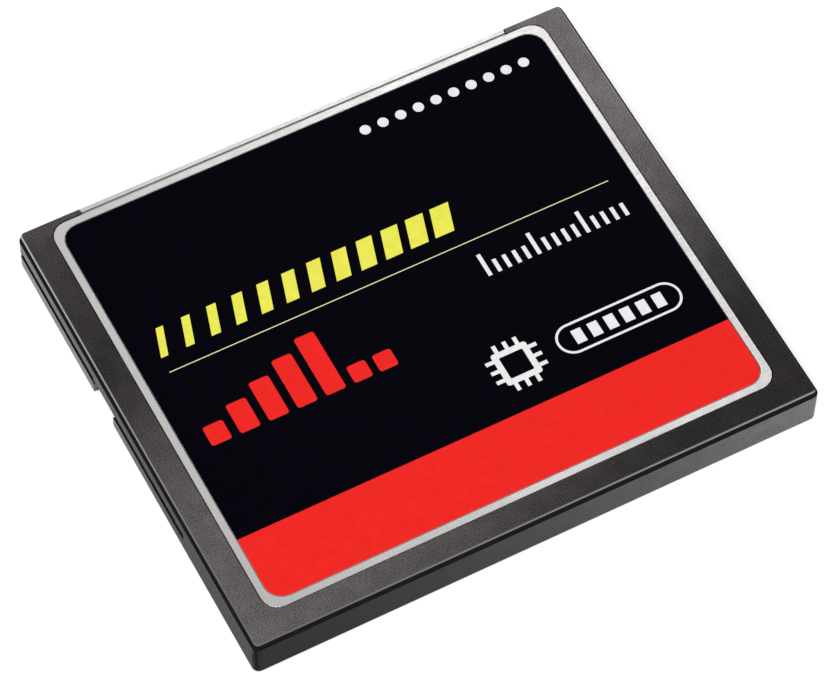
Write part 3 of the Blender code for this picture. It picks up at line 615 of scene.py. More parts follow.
    def black(self, spot: Spot, crest_highlit: Socket) -> Socket:
        """Mark what is painted black: the hollows and the lip where the crests' painted highlight isn't, and a
        line of painted shade along the right edge.

        Args:
            spot: The place.
            crest_highlit: The mask of the crests' painted highlight.

        Returns:
            The mask's socket.
        """
        graph = spot.graph
        # A thin line of painted shade along the right edge, up to where the painted glint starts.
        start = self.glint[0]
        line = graph.math("MULTIPLY", self.above(spot),
                          graph.remap(spot.from_right, start - self.soft, start, 1.0, 0.0))
        hollow = graph.math("MAXIMUM", self.hollows(spot), self.lip(spot))
        return graph.math("MAXIMUM", line, graph.math("MULTIPLY", hollow, graph.rest(crest_highlit)))

    def top_colour(self, spot: Spot, offset: Socket) -> Socket:
        """Work out the top's colour: the painted sheen, which also lightens the far left corner and the left
        ear.

        Args:
            spot: The place.
            offset: Its distance from the line of the sheen.

        Returns:
            The colour's socket.
        """
        graph = spot.graph
        # Painted sheen: the top is lighter along one diagonal, towards the far left corner and on the left ear,
        # as if it caught the light.
        swing = graph.math("MAXIMUM", offset, graph.math("MULTIPLY", offset, -self.left_falloff))
        painted_sheen = graph.mix(graph.remap(spot.across, 0.0, self.half_width), self.left_painted_sheen, self.right_painted_sheen)
        start, end = self.corner
        corner = graph.remap(offset, -end, -start, 1.0, 0.0)
        colour = graph.mix(graph.remap(swing, *self.sheen, 1.0, 0.0),
                           graph.mix(corner, self.flat_dark, self.corner_painted_sheen), painted_sheen)
        lift = graph.remap(spot.along, self.half_length - self.ear, self.half_length, 0.0, self.ear_painted_lift)
        return graph.scaled(colour, graph.math("ADD", graph.math("MULTIPLY", corner, lift), 1.0))

    def side_colour(self, spot: Spot, share: Socket) -> Socket:
        """Work out the sides' colour: painted light and shade that lighten them away from the sheen's line and
        darken the near side, a painted reflection on the ledge, and a plain colour on the far faces.

        Args:
            spot: The place.
            share: 0 on the line of the sheen and 1 furthest from it.

        Returns:
            The colour's socket.
        """
        graph = spot.graph
        # Painted light and shade: the left and near sides are darker towards the sheen's line, and the near
        # side darker still.
        colour = graph.mix(graph.math("MULTIPLY", share, share), self.side_painted_dark, self.side_painted_light)
        colour = graph.scaled(colour, graph.remap(spot.facing[1], *self.near_facing, self.near_painted_shade, 1.0))
        away = graph.math("MAXIMUM", spot.facing[0], spot.facing[1])
        colour = graph.mix(graph.remap(away, *self.plain_facing), colour, self.side_plain)
        # Painted reflection: the ledge below the left groove is lighter towards the socket end.
        ledge = graph.math("MULTIPLY", graph.math("LESS_THAN", spot.up, self.groove[0]),
                           graph.math("LESS_THAN", spot.from_left, self.ledge_depth),
                           self.beside(spot), graph.remap(spot.along, self.ledge_start, self.half_length))
        return graph.mix(ledge, colour, self.ledge)

    def wire(self, graph: Graph) -> None:
        """Wire up the material's nodes.

        Args:
            graph: The material's graph.
        """
        place = graph.place()
        spot = self.spot(graph, place)
        flat = graph.remap(spot.tilt, *self.flat)
        # Painted highlight on the crests, in place of light caught by their rounded edges.
        crest_highlit = graph.math("MULTIPLY", self.above(spot), graph.remap(spot.from_edge, *self.rim, 1.0, 0.0))
        black = self.black(spot, crest_highlit)
        offset = self.offset(spot)
        angle = math.radians(self.sheen_angle)
        reach = self.half_width * math.cos(angle) + self.half_length * math.sin(angle)
        share = graph.math("DIVIDE", graph.math("ABSOLUTE", offset), reach)

        grain = graph.noise(place, self.grain)
        uneven = graph.math("ADD", graph.swing(grain, 0.0, self.grain_contrast),
                            graph.swing(graph.noise(place, self.mottle), 0.0, self.mottle_contrast))
        # Painted glint: a band just inside the right edge is lighter, as if it caught the light.
        glint = graph.remap(spot.from_right, *self.glint, 1.0 + self.glint_lift, 1.0)
        inset = graph.math("MINIMUM", spot.from_side, spot.from_end)
        walls = graph.math("MULTIPLY", graph.remap(spot.up, self.wall_low, self.wall_low + self.soft),
                           graph.remap(inset, self.wall_inset, self.wall_inset + self.soft))
        body = graph.mix(graph.math("MAXIMUM", flat, walls), self.side_colour(spot, share),
                         self.top_colour(spot, offset))
        body = graph.scaled(body, graph.math("ADD", uneven, glint))

        # The crests' painted highlight: lighter away from the sheen's line and weaker on the near side.
        strip = graph.math("MULTIPLY", graph.remap(spot.from_edge, *self.crest, 1.0, 0.0), flat)
        upper = graph.math("MULTIPLY", crest_highlit, graph.rest(flat))
        highlighted = graph.math("MAXIMUM", graph.between(spot.tilt, *self.rounding, self.tilt_soft), upper, strip)
        shine = graph.remap(spot.from_left, self.crest[1], self.crest_turn, 1.0, self.near_crest)
        crest = graph.mix(graph.math("MULTIPLY", share, shine), self.crest_highlight_dim, self.crest_highlight_bright)
        roughness = graph.blend(black, graph.swing(grain, self.roughness, self.roughness_swing),
                                self.recess_roughness)
        # The base colour carries the painted sheen, the painted glint, the crests' painted highlight and the
        # painted black.
        graph.set(Base_Color=graph.mix(black, graph.mix(highlighted, body, crest), self.painted_shade_black), Roughness=roughness,
                  Metallic=black, Specular_IOR_Level=self.gloss, Specular_Tint=(0.0, 0.0, 0.0, 1.0))
        graph.bump(grain, self.grain_depth, graph.blend(flat, self.side_bump, 1.0))


@dataclass(frozen=True)
class SatinSteel(Finish):
    """Pressed stainless sheet with a fine rolled grain along one axis.

    Attributes:
        light: Its lightest colour.
        dark: Its darkest colour.
        along: The axis of the rolled lines.
        grain: How wide the lines are.
        grain_length: How many times longer they are.
        line_share: How much of the tone comes from the lines, and not from the clouds.
        cloud: The size of the broad clouds.
        spread: The tones over which the colour goes from dark to light.
        grain_depth: How high the lines stand.
        roughness: The roughness on average.
        roughness_swing: How far the tone moves it, lighter being smoother.
    """

    light: Colour = (0.65, 0.64, 0.636)
    dark: Colour = (0.592, 0.582, 0.578)
    along: Axis = Axis.ACROSS
    grain: float = 0.05 * MM
    grain_length: float = 12.0
    line_share: float = 0.6
    cloud: float = 5.0 * MM
    spread: Span = (0.35, 0.65)
    grain_depth: float = 0.001 * MM
    roughness: float = 0.31
    roughness_swing: float = 0.05

    def wire(self, graph: Graph) -> None:
        """Wire up the material's nodes.

        Args:
            graph: The material's graph.
        """
        place = graph.place()
        factors = [1.0, 1.0, 1.0]
        factors[self.along.value] = 1.0 / self.grain_length
        lines = graph.noise(graph.stretched(place, tuple(factors)), self.grain)
        tone = graph.math("ADD", graph.math("MULTIPLY", lines, self.line_share),
                          graph.math("MULTIPLY", graph.noise(place, self.cloud), 1.0 - self.line_share))
        graph.set(Base_Color=graph.mix(graph.remap(tone, *self.spread), self.dark, self.light),
                  Roughness=graph.swing(tone, self.roughness, -self.roughness_swing), Metallic=1.0)
        graph.bump(lines, self.grain_depth)


@dataclass(frozen=True)
class PrintedFilm(Finish):
    """Matt laminated film or ink: nearly even colour, a faint mottle, a soft skin and a pale cut edge.

    Attributes:
        colour: The face's colour.
        deep: The face's colour in the mottle's dark places.
        cut: The colour of the cut edge.
        face: The tilts over which the cut edge becomes the face.
        mottle: The size of the mottle.
        mottle_detail: How many finer layers it has.
        skin: The size of the skin's bumps.
        skin_depth: How high they stand.
        roughness: The roughness on average.
        roughness_swing: How far the mottle moves it.
        gloss: The specular level.
    """

    colour: Colour
    deep: Colour
    cut: Colour = (0.5, 0.5, 0.5)
    face: Span = (0.4, 0.6)
    mottle: float = 0.6 * MM
    mottle_detail: float = 4.0
    skin: float = 0.3 * MM
    skin_depth: float = 0.002 * MM
    roughness: float = 0.42
    roughness_swing: float = 0.04
    gloss: float = 0.06

    def wire(self, graph: Graph) -> None:
        """Wire up the material's nodes.

        Args:
            graph: The material's graph.
        """
        place = graph.place()
        mottle = graph.noise(place, self.mottle, self.mottle_detail)
        colour = graph.mix(graph.remap(mottle, *NOISE_SPREAD), self.deep, self.colour)
        tilt = graph.math("ABSOLUTE", graph.facing()[2])
        graph.set(Base_Color=graph.mix(graph.remap(tilt, *self.face), self.cut, colour),
                  Roughness=graph.swing(mottle, self.roughness, self.roughness_swing),
                  Specular_IOR_Level=self.gloss)
        graph.bump(graph.noise(place, self.skin), self.skin_depth)


BLACK_FILM = PrintedFilm((0.001, 0.0006, 0.0031), (0.0007, 0.0004, 0.0026), gloss=0.02)
INK_FINISHES = {
    Ink.RED: PrintedFilm((0.85, 0.02, 0.016), (0.81, 0.017, 0.013)),
    Ink.YELLOW: PrintedFilm((0.84, 0.82, 0.1), (0.78, 0.76, 0.08)),
    Ink.PALE: PrintedFilm((0.85, 0.86, 0.48), (0.8, 0.81, 0.42)),
    Ink.WHITE: PrintedFilm((0.84, 0.84, 0.84), (0.78, 0.78, 0.79)),
}


@dataclass(frozen=True)
class ContactHousing(Finish):
    """Moulded socket plastic with plated contacts, which are found by their pitch.

    Attributes:
        middle: The height half way between the contact rows.
        rear: The Y of the plastic's rear face, behind which the tails lie.
        tip: The Y at which the contact springs end.
        pitch: The distance from one contact to the next.
        contact_half_width: Half the width of a spring.
        contact_offset: The height from the middle to each row of springs.
        contact_half_thickness: Half the thickness of a spring.
        tails_half_span: Half the width over all the tails.
        plastic: The plastic's colour.
        streak: The colour of its flecks.
        plating: The contacts' colour.
        grain: The size of the plastic's grain.
        grain_detail: How many finer layers it has.
        grain_depth: How high it stands.
        plastic_roughness: The plastic's lowest and highest roughness.
        plating_roughness: The contacts' roughness.
        plating_bump: The share of the grain's height that shows on the contacts.
        soft: The width of a mask's edge.
    """

    middle: float
    rear: float
    tip: float
    pitch: float = 1.27 * MM
    contact_half_width: float = 0.17 * MM
    contact_offset: float = 0.435 * MM
    contact_half_thickness: float = 0.065 * MM
    tails_half_span: float = 15.6 * MM
    plastic: Colour = (0.016, 0.016, 0.018)
    streak: Colour = (0.03, 0.03, 0.033)
    plating: Colour = (0.83, 0.61, 0.27)
    grain: float = 0.2 * MM
    grain_detail: float = 3.0
    grain_depth: float = 0.006 * MM
    plastic_roughness: Span = (0.4, 0.52)
    plating_roughness: float = 0.25
    plating_bump: float = 0.1
    soft: float = 0.02 * MM

    def plated(self, graph: Graph, place: Socket) -> Socket:
        """Mark the springs in their cavities and the tails behind the plastic.

        Args:
            graph: The material's graph.
            place: The place's coordinates.

        Returns:
            The mask's socket.
        """
        across, along, up = graph.parts(place)
        column = graph.remap(graph.math("PINGPONG", across, self.pitch / 2), self.contact_half_width,
                             self.contact_half_width + self.soft, 1.0, 0.0)
        from_middle = graph.math("ABSOLUTE", graph.math("SUBTRACT", up, self.middle))
        level = graph.between(from_middle, self.contact_offset - self.contact_half_thickness,
                              self.contact_offset + self.contact_half_thickness, self.soft)
        before_tip = graph.remap(along, self.tip, self.tip + self.soft, 1.0, 0.0)
        behind = graph.remap(along, self.rear - self.soft, self.rear, 1.0, 0.0)
        span = graph.remap(graph.math("ABSOLUTE", across), self.tails_half_span,
                           self.tails_half_span + self.soft, 1.0, 0.0)
        return graph.math("MAXIMUM", graph.math("MULTIPLY", column, level, before_tip),
                          graph.math("MULTIPLY", behind, span))

    def wire(self, graph: Graph) -> None:
        """Wire up the material's nodes.

        Args:
            graph: The material's graph.
        """
        place = graph.place()
        plated = self.plated(graph, place)
        grain = graph.noise(place, self.grain, self.grain_detail)
        plastic = graph.mix(graph.remap(grain, *FLECK_SPREAD), self.plastic, self.streak)
        roughness = graph.remap(grain, *NOISE_SPREAD, *self.plastic_roughness)
        graph.set(Base_Color=graph.mix(plated, plastic, self.plating), Metallic=plated,
                  Roughness=graph.blend(plated, roughness, self.plating_roughness))
        graph.bump(grain, self.grain_depth, graph.blend(plated, 1.0, self.plating_bump))


@dataclass(frozen=True)
class TippedChip(Finish):
    """A chip whose middle is moulded or fired and whose outer part along its axes is metal.

    Attributes:
        margins: The metal share of the box at each end, across and along.
        body: The middle's colour.
        fleck: The colour of its flecks.
        metal: The metal's colour.
        grain: The size of the grain.
        grain_detail: How many finer layers it has.
        grain_depth: How high it stands.
        roughness: The middle's roughness on average.
        roughness_swing: How far the grain moves it.
        metal_roughness: The metal's roughness.
    """

    margins: Span
    body: Colour
    fleck: Colour
    metal: Colour = (0.78, 0.77, 0.74)
    grain: float = 0.12 * MM
    grain_detail: float = 3.0
    grain_depth: float = 0.006 * MM
    roughness: float = 0.55
    roughness_swing: float = 0.06
    metal_roughness: float = 0.3

    def wire(self, graph: Graph) -> None:
        """Wire up the material's nodes.

        Args:
            graph: The material's graph.
        """
        grain = graph.noise(graph.place(), self.grain, self.grain_detail)
        tipped: Value = 0.0
        for share, margin in zip(graph.parts(graph.share()), self.margins):
            away = graph.math("ABSOLUTE", graph.math("SUBTRACT", share, 0.5))
            tipped = graph.math("MAXIMUM", tipped, graph.math("GREATER_THAN", away, 0.5 - margin))
        body = graph.mix(graph.remap(grain, *FLECK_SPREAD), self.body, self.fleck)
        roughness = graph.swing(grain, self.roughness, self.roughness_swing)
        graph.set(Base_Color=graph.mix(tipped, body, self.metal), Metallic=tipped,
                  Roughness=graph.blend(tipped, roughness, self.metal_roughness))
        graph.bump(grain, self.grain_depth)


@dataclass(frozen=True)
class MaskedLaminate(Finish):
    """Board laminate under green solder mask, with tracks and a faint weave showing through.

    Attributes:
        mask: The colour of the mask.
        track: Its colour over a track.
        track_pitch: The distance from one track to the next.
        track_edge: Where a track's edge starts and ends, in pitches from its middle.
        sway: How far the tracks wander.
        sway_size: Over what length they do.
        patch: The size of the areas with and without tracks.
        patch_spread: The values of their pattern over which one becomes the other.
        weave: The width of a thread pair of the cloth.
        weave_relief: The cloth's height against a track's.
        relief: How high a track stands.
        roughness: The lowest and highest roughness.
    """

    mask: Colour = (0.012, 0.1, 0.042)
    track: Colour = (0.03, 0.19, 0.075)
    track_pitch: float = 0.6 * MM
    track_edge: Span = (0.12, 0.2)
    sway: float = 3.0 * MM
    sway_size: float = 6.0 * MM
    patch: float = 4.0 * MM
    patch_spread: Span = (0.48, 0.52)
    weave: float = 0.4 * MM
    weave_relief: float = 0.2
    relief: float = 0.012 * MM
    roughness: Span = (0.3, 0.4)

    def wire(self, graph: Graph) -> None:
        """Wire up the material's nodes.

        Args:
            graph: The material's graph.
        """
        place = graph.place()
        across, along, _ = graph.parts(place)
        sway = graph.math("MULTIPLY", graph.noise(place, self.sway_size), self.sway)
        lane = graph.math("PINGPONG", graph.math("ADD", across, sway), self.track_pitch / 2)
        start, end = self.track_edge
        track = graph.remap(lane, self.track_pitch * start, self.track_pitch * end, 1.0, 0.0)
        patch = graph.remap(graph.noise(place, self.patch), *self.patch_spread)
        tracks = graph.math("MULTIPLY", track, patch)
        warp = graph.math("PINGPONG", across, self.weave / 2)
        weft = graph.math("PINGPONG", along, self.weave / 2)
        cloth = graph.math("DIVIDE", graph.math("ADD", warp, weft), self.weave)
        graph.set(Base_Color=graph.mix(tracks, self.mask, self.track),
                  Roughness=graph.remap(cloth, 0.0, 1.0, *self.roughness))
        graph.bump(graph.math("ADD", tracks, graph.math("MULTIPLY", cloth, self.weave_relief)), self.relief)


@dataclass(frozen=True)
class PaleFloor(Finish):
    """Plain pale floor that the camera and mirrors see a little brighter, but for what the card covers.

    Attributes:
        cover: The lowest and highest corners of what stands on it.
        corner: The radius of its upright corners.
        notch: Where its two side notches start and end along it.
        notch_depth: How far they go in.
        colour: The floor's colour.
        shade: The share of that colour in the clouds' dark places.
        cloud: The size of the clouds.
        lift: How much brighter the floor is seen.
        contact: The width of the covered area's edge.
        roughness: The roughness.
    """

    cover: tuple[Vector, Vector]
    corner: float = 0.5 * MM
    notch: Span = NOTCH
    notch_depth: float = CUT_DEPTH
    colour: Colour = (0.86, 0.86, 0.86)
    shade: float = 0.985
    cloud: float = 0.3
    lift: float = 0.42
    contact: float = 0.05 * MM
    roughness: float = 0.9

    def covered(self, graph: Graph, place: Socket) -> Socket:
        """Mark what lies under the card.

        Args:
            graph: The material's graph.
            place: The place's coordinates.

        Returns:
            The mask's socket.
        """
        across, along, _ = graph.parts(place)
        spread: Value = 0.0
        for value, low, high in zip((across, along), *self.cover):
            away = graph.math("ABSOLUTE", graph.math("SUBTRACT", value, (low + high) / 2))
            over = graph.math("MAXIMUM", graph.math("SUBTRACT", away, (high - low) / 2 - self.corner), 0.0)
            spread = graph.math("ADD", spread, graph.math("MULTIPLY", over, over))
        covered = graph.remap(graph.math("SQRT", spread), self.corner, self.corner + self.contact, 1.0, 0.0)
        outer = graph.math("GREATER_THAN", graph.math("ABSOLUTE", across), self.cover[1].x - self.notch_depth)
        notched = graph.math("MULTIPLY", graph.between(along, *self.notch, self.contact), outer)
        return graph.math("MULTIPLY", covered, graph.rest(notched))

    def wire(self, graph: Graph) -> None:
        """Wire up the material's nodes.

        Args:
            graph: The material's graph.
        """
        place = graph.place()
        light = graph.node("ShaderNodeLightPath").outputs
        seen = graph.math("MAXIMUM", light["Is Camera Ray"], light["Is Glossy Ray"],
                          light["Is Transmission Ray"])
        lift = graph.blend(self.covered(graph, place), graph.math("MULTIPLY", seen, self.lift), 0.0)
        darker = tuple(part * self.shade for part in self.colour)
        graph.set(Base_Color=graph.mix(graph.noise(place, self.cloud), darker, self.colour),
                  Roughness=self.roughness, Specular_IOR_Level=0.0,
                  Emission_Color=(1.0, 1.0, 1.0), Emission_Strength=lift)


@dataclass(frozen=True)
class Patch:
    """A rectangle on the label's face, with round corners where it has a radius.

    Attributes:
        left: The X of its left side.
        right: The X of its right side.
        near: The Y of its near side.
        far: The Y of its far side.
        radius: The radius of its corners.
        steps: The steps in a round corner.
    """

    left: float
    right: float
    near: float
    far: float
    radius: float = 0.0
    steps: int = 8

    def grown(self, by: float) -> "Patch":
        """The same patch with each edge moved outwards."""
        radius = max(self.radius + by, 0.0) if self.radius else 0.0
        return Patch(self.left - by, self.right + by, self.near - by, self.far + by, radius, self.steps)

    def points(self) -> list[Point]:
        """Work out the outline.

        Returns:
            Its points, anticlockwise from the right-hand side of the far edge.
        """
        if not self.radius:
            return [(self.right, self.far), (self.left, self.far), (self.left, self.near),
                    (self.right, self.near)]
        west, east = self.left + self.radius, self.right - self.radius
        south, north = self.near + self.radius, self.far - self.radius
        outline = []
        for quarter, (x, y) in enumerate(((east, north), (west, north), (west, south), (east, south))):
            for step in range(self.steps + 1):
                angle = math.pi / 2 * (quarter + step / self.steps)
                outline.append((x + self.radius * math.cos(angle), y + self.radius * math.sin(angle)))
        return outline


class InkLayer:
    """One ink's thin closed shapes, gathered in one mesh."""

    def __init__(self, low: float, high: float) -> None:
        """Start an empty layer.

        Args:
            low: The height of its underside.
            high: The height of its face.
        """
        self.shape = bmesh.new()
        self.low = low
        self.high = high

    def loop(self, outline: Iterable[Point], height: float) -> list[bmesh.types.BMVert]:
        """Add an outline's points at a height."""
        return [self.shape.verts.new((x, y, height)) for x, y in outline]

    def walls(self, lower: list[bmesh.types.BMVert], upper: list[bmesh.types.BMVert]) -> None:
        """Join two loops of equal length with a band of faces.

        Args:
            lower: The first loop.
            upper: The second loop.
        """
        for index, corner in enumerate(lower):
            following = (index + 1) % len(lower)
            self.shape.faces.new((corner, lower[following], upper[following], upper[index]))

    def fill(self, outline: list[Point]) -> None:
        """Print a filled outline.

        Args:
            outline: Its points.
        """
        lower, upper = self.loop(outline, self.low), self.loop(outline, self.high)
        self.walls(lower, upper)
        self.shape.faces.new(upper)
        self.shape.faces.new(list(reversed(lower)))

    def line(self, outer: list[Point], inner: list[Point]) -> None:
        """Print the band between two outlines with equal numbers of points.

        Args:
            outer: The outline round the band.
            inner: The outline of its hole.
        """
        loops = [self.loop(outline, height) for outline, height in
                 ((outer, self.low), (outer, self.high), (inner, self.high), (inner, self.low))]
        for lower, upper in zip(loops, loops[1:] + loops[:1]):
            self.walls(lower, upper)

    def piece(self, name: str, material: bpy.types.Material, slot: str) -> None:
        """Finish the mesh and let it ride on the card.

        Args:
            name: The piece's name.
            material: Its material.
            slot: Not used.
        """
        bmesh.ops.recalc_face_normals(self.shape, faces=self.shape.faces)
        mesh = bpy.data.meshes.new(name)
        self.shape.to_mesh(mesh)
        self.shape.free()
        mesh.materials.append(material)
        item = bpy.data.objects.new(name, mesh)
        bpy.context.scene.collection.objects.link(item)
        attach(item, BODY)
        LOG.info("%s: %d faces", name, len(mesh.polygons))


def dress(node: bpy.types.Object, material: bpy.types.Material) -> None:
    """Give a CAD node its finish.

    Args:
        node: The node's object.
        material: The material for each of its slots.
    """
    for slot in node.material_slots:
        slot.material = material
    LOG.info("%s: dressed in %s", node.name, material.name)


@dataclass
class Shell:
    """The moulded frame and the two pressed covers.

    Attributes:
        nodes: The CAD nodes by name.
    """

    nodes: dict[str, bpy.types.Object]

    def build(self) -> None:
        """Dress the frame and the covers."""
        _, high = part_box("frame")
        dress(self.nodes["frame"], BlastedMoulding(high.x, high.y).make("blasted_moulding"))
        steel = SatinSteel().make("satin_steel")
        for name in ("top_cover", "bottom_cover"):
            dress(self.nodes[name], steel)


@dataclass
class Label:
    """The label film and its print, which is laid out from the film's edges.

    Attributes:
        nodes: The CAD nodes by name.
        slot: The record's material slot for the print.
        ink_thickness: How thick the inks are.
        corner: The radius of the film's corners.
        margin: From the film's sides to the print.
        print_corner: The radius of the bars' corners.
        band_height: How far the red band reaches from the near edge.
        rule_from_far: From the far edge to the thin rule.
        rule_thickness: How thick it is.
        dash_count: The number of dashes.
        dash_run: The length of their row.
        dash_height: How tall they are.
        dash_lean: How far each leans over that height.
        dash_rise: From the rule to the dashes.
        dash_thin: The width of the first dash.
        dash_thick: The width of the last one.
        gauge_bars: The number of rising bars.
        gauge_pitch: From one bar to the next.
        gauge_width: How wide they are.
        gauge_low: The height of the first bar.
        gauge_high: The height of the last one.
        gauge_drop: From the rule down to their feet.
        unit_count: The number of squares after them.
        unit_side: The side of a square.
        unit_pitch: From one square to the next.
        tick_count: The number of ruler ticks.
        tick_group: Every which of them is long.
        tick_pitch: From one tick to the next.
        tick_width: How wide they are.
        tick_short: The height of a short tick.
        tick_long: The height of a long one.
        tick_drop: From the rule down to their feet.
        dot_count: The number of dots.
        dot_pitch: From one dot to the next.
        dot_radius: A dot's radius.
        dot_from_far: From the far edge to the dots' middle.
        dot_sides: The number of sides of a dot's outline.
        badge_rise: From the band to the badge's middle.
        badge_length: The badge's length.
        badge_height: Its height.
        badge_line: The thickness of its line.
        badge_steps: The steps in a quarter of its round ends.
        badge_bars: The number of bars inside it.
        badge_bar_pitch: From one bar to the next.
        badge_bar_length: A bar's length.
        badge_bar_height: Its height.
        glyph_side: The side of the chip picture's square.
        glyph_line: The thickness of its line.
        glyph_pins: The number of pins on a side.
        glyph_pin_pitch: From one pin to the next.
        glyph_pin_width: A pin's width.
        glyph_pin_length: A pin's length.
        glyph_to_badge: From the square to the badge.
    """

    nodes: dict[str, bpy.types.Object]
    slot: str = "label_film"
    ink_thickness: float = 0.003 * MM
    corner: float = 1.28 * MM
    margin: float = 1.75 * MM
    print_corner: float = 0.2 * MM
    band_height: float = 5.24 * MM
    rule_from_far: float = 13.68 * MM
    rule_thickness: float = 0.065 * MM
    dash_count: int = 12
    dash_run: float = 23.2 * MM
    dash_height: float = 2.3 * MM
    dash_lean: float = 0.7 * MM
    dash_rise: float = 1.3 * MM
    dash_thin: float = 0.55 * MM
    dash_thick: float = 1.45 * MM
    gauge_bars: int = 5
    gauge_pitch: float = 2.15 * MM
    gauge_width: float = 1.5 * MM
    gauge_low: float = 1.6 * MM
    gauge_high: float = 5.0 * MM
    gauge_drop: float = 6.5 * MM
    unit_count: int = 2
    unit_side: float = 1.4 * MM
    unit_pitch: float = 1.95 * MM
    tick_count: int = 15
    tick_group: int = 5
    tick_pitch: float = 0.77 * MM
    tick_width: float = 0.3 * MM
    tick_short: float = 1.1 * MM
    tick_long: float = 1.9 * MM
    tick_drop: float = 3.1 * MM
    dot_count: int = 10
    dot_pitch: float = 1.4 * MM
    dot_radius: float = 0.4 * MM
    dot_from_far: float = 2.1 * MM
    dot_sides: int = 24
    badge_rise: float = 3.53 * MM
    badge_length: float = 9.6 * MM
    badge_height: float = 2.43 * MM
    badge_line: float = 0.18 * MM
    badge_steps: int = 16
    badge_bars: int = 6
    badge_bar_pitch: float = 1.25 * MM
    badge_bar_length: float = 0.75 * MM
    badge_bar_height: float = 1.15 * MM
    glyph_side: float = 2.7 * MM
    glyph_line: float = 0.45 * MM
    glyph_pins: int = 3
    glyph_pin_pitch: float = 0.8 * MM
    glyph_pin_width: float = 0.3 * MM
    glyph_pin_length: float = 0.6 * MM
    glyph_to_badge: float = 1.8 * MM

    def film(self) -> tuple[Patch, float]:
        """The film's outline and the height of its face."""
        low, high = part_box("front_label")
        return Patch(low.x, high.x, low.y, high.y, self.corner), high.z

    def band(self, film: Patch) -> list[Point]:
        """Outline of the field of red over the near end of the film.

        Args:
            film: The film's outline.

        Returns:
            Points that follow the film's near corners and end square.
        """
        outline = film.points()
        far = film.near + self.band_height
        return outline[len(outline) // 2:] + [(film.right, far), (film.left, far)]

    def dashes(self, film: Patch) -> Iterator[list[Point]]:
        """Leaning dashes above the rule, thicker from left to right.

        Args:
            film: The film's outline.

        Yields:
            The outline of each dash.
        """
        low = film.far - self.rule_from_far + self.dash_rise
        high = low + self.dash_height
        last = self.dash_count - 1
        pitch = (self.dash_run - self.dash_lean - self.dash_thick) / last
        for index in range(self.dash_count):
            left = film.left + self.margin + index * pitch
            right = left + self.dash_thin + (self.dash_thick - self.dash_thin) * index / last
            yield [(left, low), (right, low), (right + self.dash_lean, high), (left + self.dash_lean, high)]

    def gauge(self, film: Patch) -> Iterator[Patch]:
        """Bars that rise from left to right below the rule, and small squares after them.

        Args:
            film: The film's outline.

        Yields:
            Each bar and square.
        """
        left = film.left + self.margin
        low = film.far - self.rule_from_far - self.gauge_drop
        for index in range(self.gauge_bars):
            start = left + index * self.gauge_pitch
            rise = (self.gauge_high - self.gauge_low) * index / (self.gauge_bars - 1)
            yield Patch(start, start + self.gauge_width, low, low + self.gauge_low + rise, self.print_corner)
        for index in range(self.unit_count):
            start = left + self.gauge_bars * self.gauge_pitch + index * self.unit_pitch
            yield Patch(start, start + self.unit_side, low, low + self.unit_side, self.print_corner)

    def ticks(self, film: Patch) -> Iterator[Patch]:
        """Ruler ticks on the right below the rule.

        Args:
            film: The film's outline.

        Yields:
            Each tick, from the right.
        """
        low = film.far - self.rule_from_far - self.tick_drop
        for index in range(self.tick_count):
            long = (self.tick_count - 1 - index) % self.tick_group == 0
            right = film.right - self.margin - index * self.tick_pitch
            height = self.tick_long if long else self.tick_short
            yield Patch(right - self.tick_width, right, low, low + height)

    def dots(self, film: Patch) -> Iterator[list[Point]]:
        """Row of dots near the far right corner.

        Args:
            film: The film's outline.

        Yields:
            The outline of each dot.
        """
        y = film.far - self.dot_from_far
        for index in range(self.dot_count):
            x = film.right - self.margin - self.dot_radius - index * self.dot_pitch
            yield [(x + self.dot_radius * math.cos(math.tau * step / self.dot_sides),
                    y + self.dot_radius * math.sin(math.tau * step / self.dot_sides))
                   for step in range(self.dot_sides)]

    def badge(self, film: Patch) -> Patch:
        """Place the plain oval badge above the band.

        Args:
            film: The film's outline.

        Returns:
            The badge's outer edge.
        """
        right = film.right - self.margin
        middle = film.near + self.band_height + self.badge_rise
        half = self.badge_height / 2
        return Patch(right - self.badge_length, right, middle - half, middle + half, half, self.badge_steps)

    def badge_marks(self, badge: Patch) -> Iterator[Patch]:
        """Short bars inside the badge.

        Args:
            badge: The badge's outer edge.

        Yields:
            Each bar.
        """
        middle = ((badge.left + badge.right) / 2, (badge.near + badge.far) / 2)
        for index in range(self.badge_bars):
            x = middle[0] + (index - (self.badge_bars - 1) / 2) * self.badge_bar_pitch
            yield Patch(x - self.badge_bar_length / 2, x + self.badge_bar_length / 2,
                        middle[1] - self.badge_bar_height / 2, middle[1] + self.badge_bar_height / 2)

    def draw_glyph(self, layer: InkLayer, badge: Patch) -> None:
        """Print a plain picture of a chip beside the badge.

        Args:
            layer: The ink that draws it.
            badge: The badge's outer edge.
        """
        half = self.glyph_side / 2
        x = badge.left - self.glyph_to_badge - half
        y = (badge.near + badge.far) / 2
        inset = half - self.glyph_line
        layer.line(Patch(x - half, x + half, y - half, y + half, self.print_corner).points(),
                   Patch(x - inset, x + inset, y - inset, y + inset, self.print_corner / 2).points())
        for index in range(self.glyph_pins):
            offset = (index - (self.glyph_pins - 1) / 2) * self.glyph_pin_pitch
            for side in (-1, 1):
                root, tip = sorted((side * half, side * (half + self.glyph_pin_length)))
                low, high = offset - self.glyph_pin_width / 2, offset + self.glyph_pin_width / 2
                layer.fill(Patch(x + root, x + tip, y + low, y + high).points())
                layer.fill(Patch(x + low, x + high, y + root, y + tip).points())

